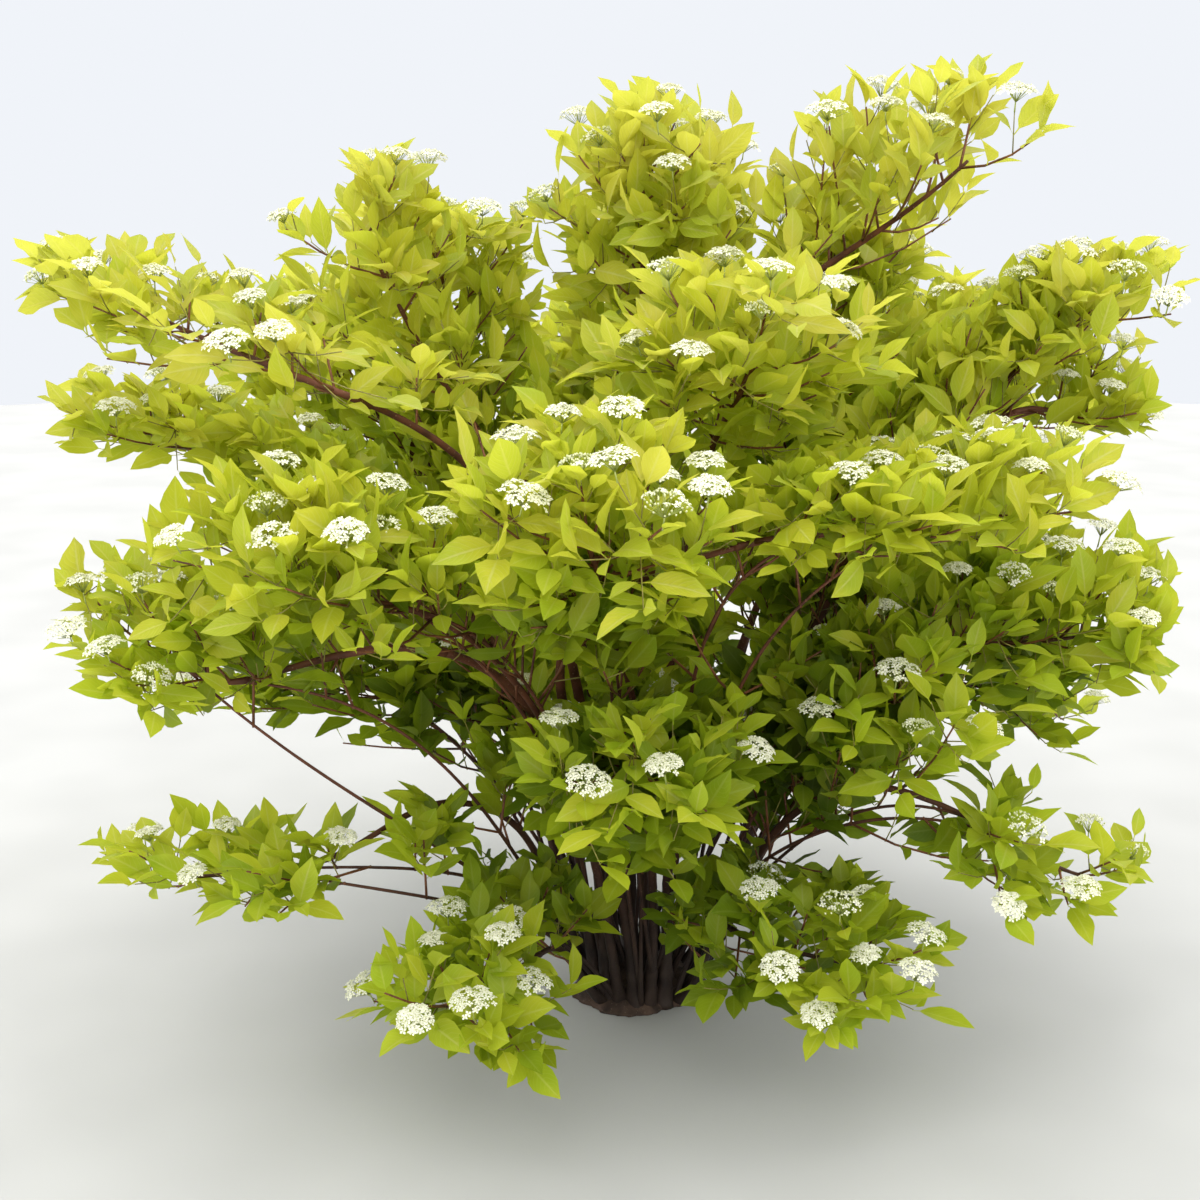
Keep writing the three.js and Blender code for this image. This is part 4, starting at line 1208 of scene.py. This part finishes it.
def petals(centre, axis, size, rng):
    """Four narrow kites round each flower's middle, their tips bent back a little."""
    side = side_of(axis, rng.uniform(0, 2 * np.pi, len(centre)))
    other = np.cross(axis, side)
    verts, faces = [], []
    for petal in range(4):
        ahead = np.cos(petal * QUARTER) * side + np.sin(petal * QUARTER) * other
        beside = -np.sin(petal * QUARTER) * side + np.cos(petal * QUARTER) * other
        verts += [
            centre,
            centre + size[:, None] * (0.55 * ahead + 0.36 * beside + 0.12 * axis),
            centre + size[:, None] * ahead,
            centre + size[:, None] * (0.55 * ahead - 0.36 * beside + 0.12 * axis),
        ]
        k = petal * 4
        faces += [[k, k + 2, k + 1], [k, k + 3, k + 2]]
    return np.stack(verts, 1).reshape(-1, 3), repeated(np.array(faces), len(centre), len(verts))


def beads(centre, axis, wide, tall):
    """Small eight-sided beads: buds, and the greenish middle of each flower."""
    side = side_of(axis, np.zeros(len(centre)))
    other = np.cross(axis, side)
    corners = [side * wide[:, None], other * wide[:, None], -side * wide[:, None], -other * wide[:, None]]
    corners += [axis * tall[:, None], -axis * tall[:, None]]
    skin = np.stack([centre + corner for corner in corners], 1)
    faces = [[0, 1, 4], [1, 2, 4], [2, 3, 4], [3, 0, 4], [1, 0, 5], [2, 1, 5], [3, 2, 5], [0, 3, 5]]
    return skin.reshape(-1, 3), repeated(np.array(faces), len(centre), len(corners))


FORK_AT = 0.45
RAY_EVERY = 4


def stalks():
    """Each head's stalk to where it forks, and a thin ray from there to every fourth
    flower."""
    fork = sites + axis * (stalk * FORK_AT)[:, None]
    starts = np.repeat(fork, FLORETS, axis=0)[::RAY_EVERY]
    ends = (floret - floret_axis * 0.0005).reshape(-1, 3)[::RAY_EVERY]
    reach = np.linalg.norm(ends - starts, axis=1)
    thick = (sites, axis, stalk * 0.5, np.zeros(heads), None)
    thin = (starts, (ends - starts) / reach[:, None], reach, np.zeros(len(reach)), None)
    return join_tables([
        twig_skins(thick, 0.0012, 0.0010, 5, 2, 0.004),
        twig_skins(thin, 0.0006, 0.0004, 3, 2, 0.0),
    ])


def soft_material(name, first, second, roughness, scale, glow=None):
    """Two close shades in fine clouds. With a glow, a little light comes through."""
    material, tree, shader = new_material(name)
    noise = node_of(tree, "ShaderNodeTexNoise", Vector=object_place(tree), Scale=scale, Detail=1.0)
    shades = ramp(tree, noise.outputs["Fac"], [(0.35, first), (0.65, second)])
    relief = sunk(tree, noise.outputs["Fac"], 0.3, 0.0004)
    joined(tree, shader, Roughness=roughness, Normal=relief, **{"Base Color": shades})
    if glow is not None:
        light_through(tree, shader, glow, 0.22)
    return material


petal_size = rng.uniform(0.0048, 0.006, (heads, FLORETS))
petal_tables = petals(floret[is_open], floret_axis[is_open], petal_size[is_open], rng)
petal_piece = new_piece("petals", *petal_tables, smooth=False)
petal_piece.data.materials.append(
    soft_material("cream_petal", (0.80, 0.79, 0.63), (0.87, 0.86, 0.73), 0.6, 120.0, (0.88, 0.88, 0.72))
)

# Every bud is shown, and the middle of every third open flower. Half widths and half
# heights of both.
MIDDLE_SIZE = (0.0011, 0.0022)
BUD_SIZE = (0.0017, 0.0026)
opened = is_open.ravel()
shown = ~opened | (np.arange(len(opened)) % 3 == 0)
wide = np.where(opened, MIDDLE_SIZE[0], BUD_SIZE[0])
tall = np.where(opened, MIDDLE_SIZE[1], BUD_SIZE[1])
bead_tables = beads(
    (floret + floret_axis * 0.0008).reshape(-1, 3)[shown], floret_axis.reshape(-1, 3)[shown],
    wide[shown], tall[shown],
)
bead_piece = new_piece("buds_and_flower_middles", *bead_tables)
bead_piece.data.materials.append(
    soft_material("bud_green", (0.52, 0.55, 0.26), (0.70, 0.71, 0.44), 0.55, 160.0)
)
stalk_piece = new_piece("flower_stalks", *stalks())
stalk_piece.data.materials.append(
    soft_material("flower_stalk_green", (0.30, 0.36, 0.08), (0.42, 0.46, 0.14), 0.55, 90.0)
)
for piece in (petal_piece, bead_piece, stalk_piece):
    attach(piece, "root")


# The studio: a plain pale floor, a pale sky all round that is brightest above and
# behind, a weak light from the front, and a camera at standing height in front.
FLOOR_RADIUS = 9.0
FLOOR_LEVEL = -0.001
FLOOR_SIDES = 96
rim = FLOOR_RADIUS * np.stack([np.cos(full_turn(FLOOR_SIDES)), np.sin(full_turn(FLOOR_SIDES))], 1)
disc = np.concatenate([rim, [[0, 0]]])
disc = np.column_stack([disc, np.full(len(disc), FLOOR_LEVEL)])
k = np.arange(FLOOR_SIDES)
slices = np.stack([np.full(FLOOR_SIDES, FLOOR_SIDES), k, (k + 1) % FLOOR_SIDES], 1)
floor = new_piece("studio_floor", disc, slices)
floor.data.materials.append(soft_material("floor_paint", (0.40, 0.40, 0.39), (0.43, 0.43, 0.42), 0.9, 3.0))

bpy.context.scene.view_settings.view_transform = "Standard"
world = bpy.data.worlds.new("studio_air")
world.use_nodes = True
joined(world.node_tree, world.node_tree.nodes["Background"], Color=(0.92, 0.95, 1.0, 1), Strength=0.95)
bpy.context.scene.world = world


def in_scene(name, data, spot=(0, 0, 0), turn=(0, 0, 0)):
    """An object of a lamp's or camera's data at a place, turned by angles in degrees."""
    thing = bpy.data.objects.new(name, data)
    thing.location = spot
    thing.rotation_euler = tuple(math.radians(angle) for angle in turn)
    bpy.context.scene.collection.objects.link(thing)
    return thing


# A sky's light from each side is a sun as wide as the given angle.
for name, strength, spread, turn, colour in (
    ("sky_light", 1.95, 110, (14, -14, 0), (1.0, 0.98, 0.94)),
    ("sky_behind", 1.7, 110, (-40, 0, 0), (1.0, 0.99, 0.96)),
    ("sky_left", 0.95, 150, (30, -58, 0), (1.0, 0.99, 0.96)),
    ("sky_right", 1.05, 150, (30, 58, 0), (1.0, 0.99, 0.96)),
):
    sun = bpy.data.lights.new(name, "SUN")
    sun.energy = strength
    sun.angle = math.radians(spread)
    sun.color = colour
    in_scene(name, sun, turn=turn)

FRONT_LIGHT_PLACE = (1.2, -4.4, 2.2)
LIT_PLACE = (0, 0, 0.7)
aim = np.array(LIT_PLACE) - np.array(FRONT_LIGHT_PLACE)
panel = bpy.data.lights.new("front_light", "AREA")
panel.size = 3.2
panel.energy = 45.0
panel.color = (1.0, 0.99, 0.97)
from_down = math.degrees(math.acos(-aim[2] / np.linalg.norm(aim)))
in_scene("front_light", panel, FRONT_LIGHT_PLACE, (from_down, 0, heading(aim) - 90))

CAMERA_DOWN = 14.0
CAMERA_LENS = 49.2
SENSOR_WIDTH = 36.0
camera_data = bpy.data.cameras.new("camera")
camera_data.lens = CAMERA_LENS
camera_data.sensor_width = SENSOR_WIDTH
bpy.context.scene.camera = in_scene("camera", camera_data, CAMERA_PLACE, (90 - CAMERA_DOWN, 0, 0))
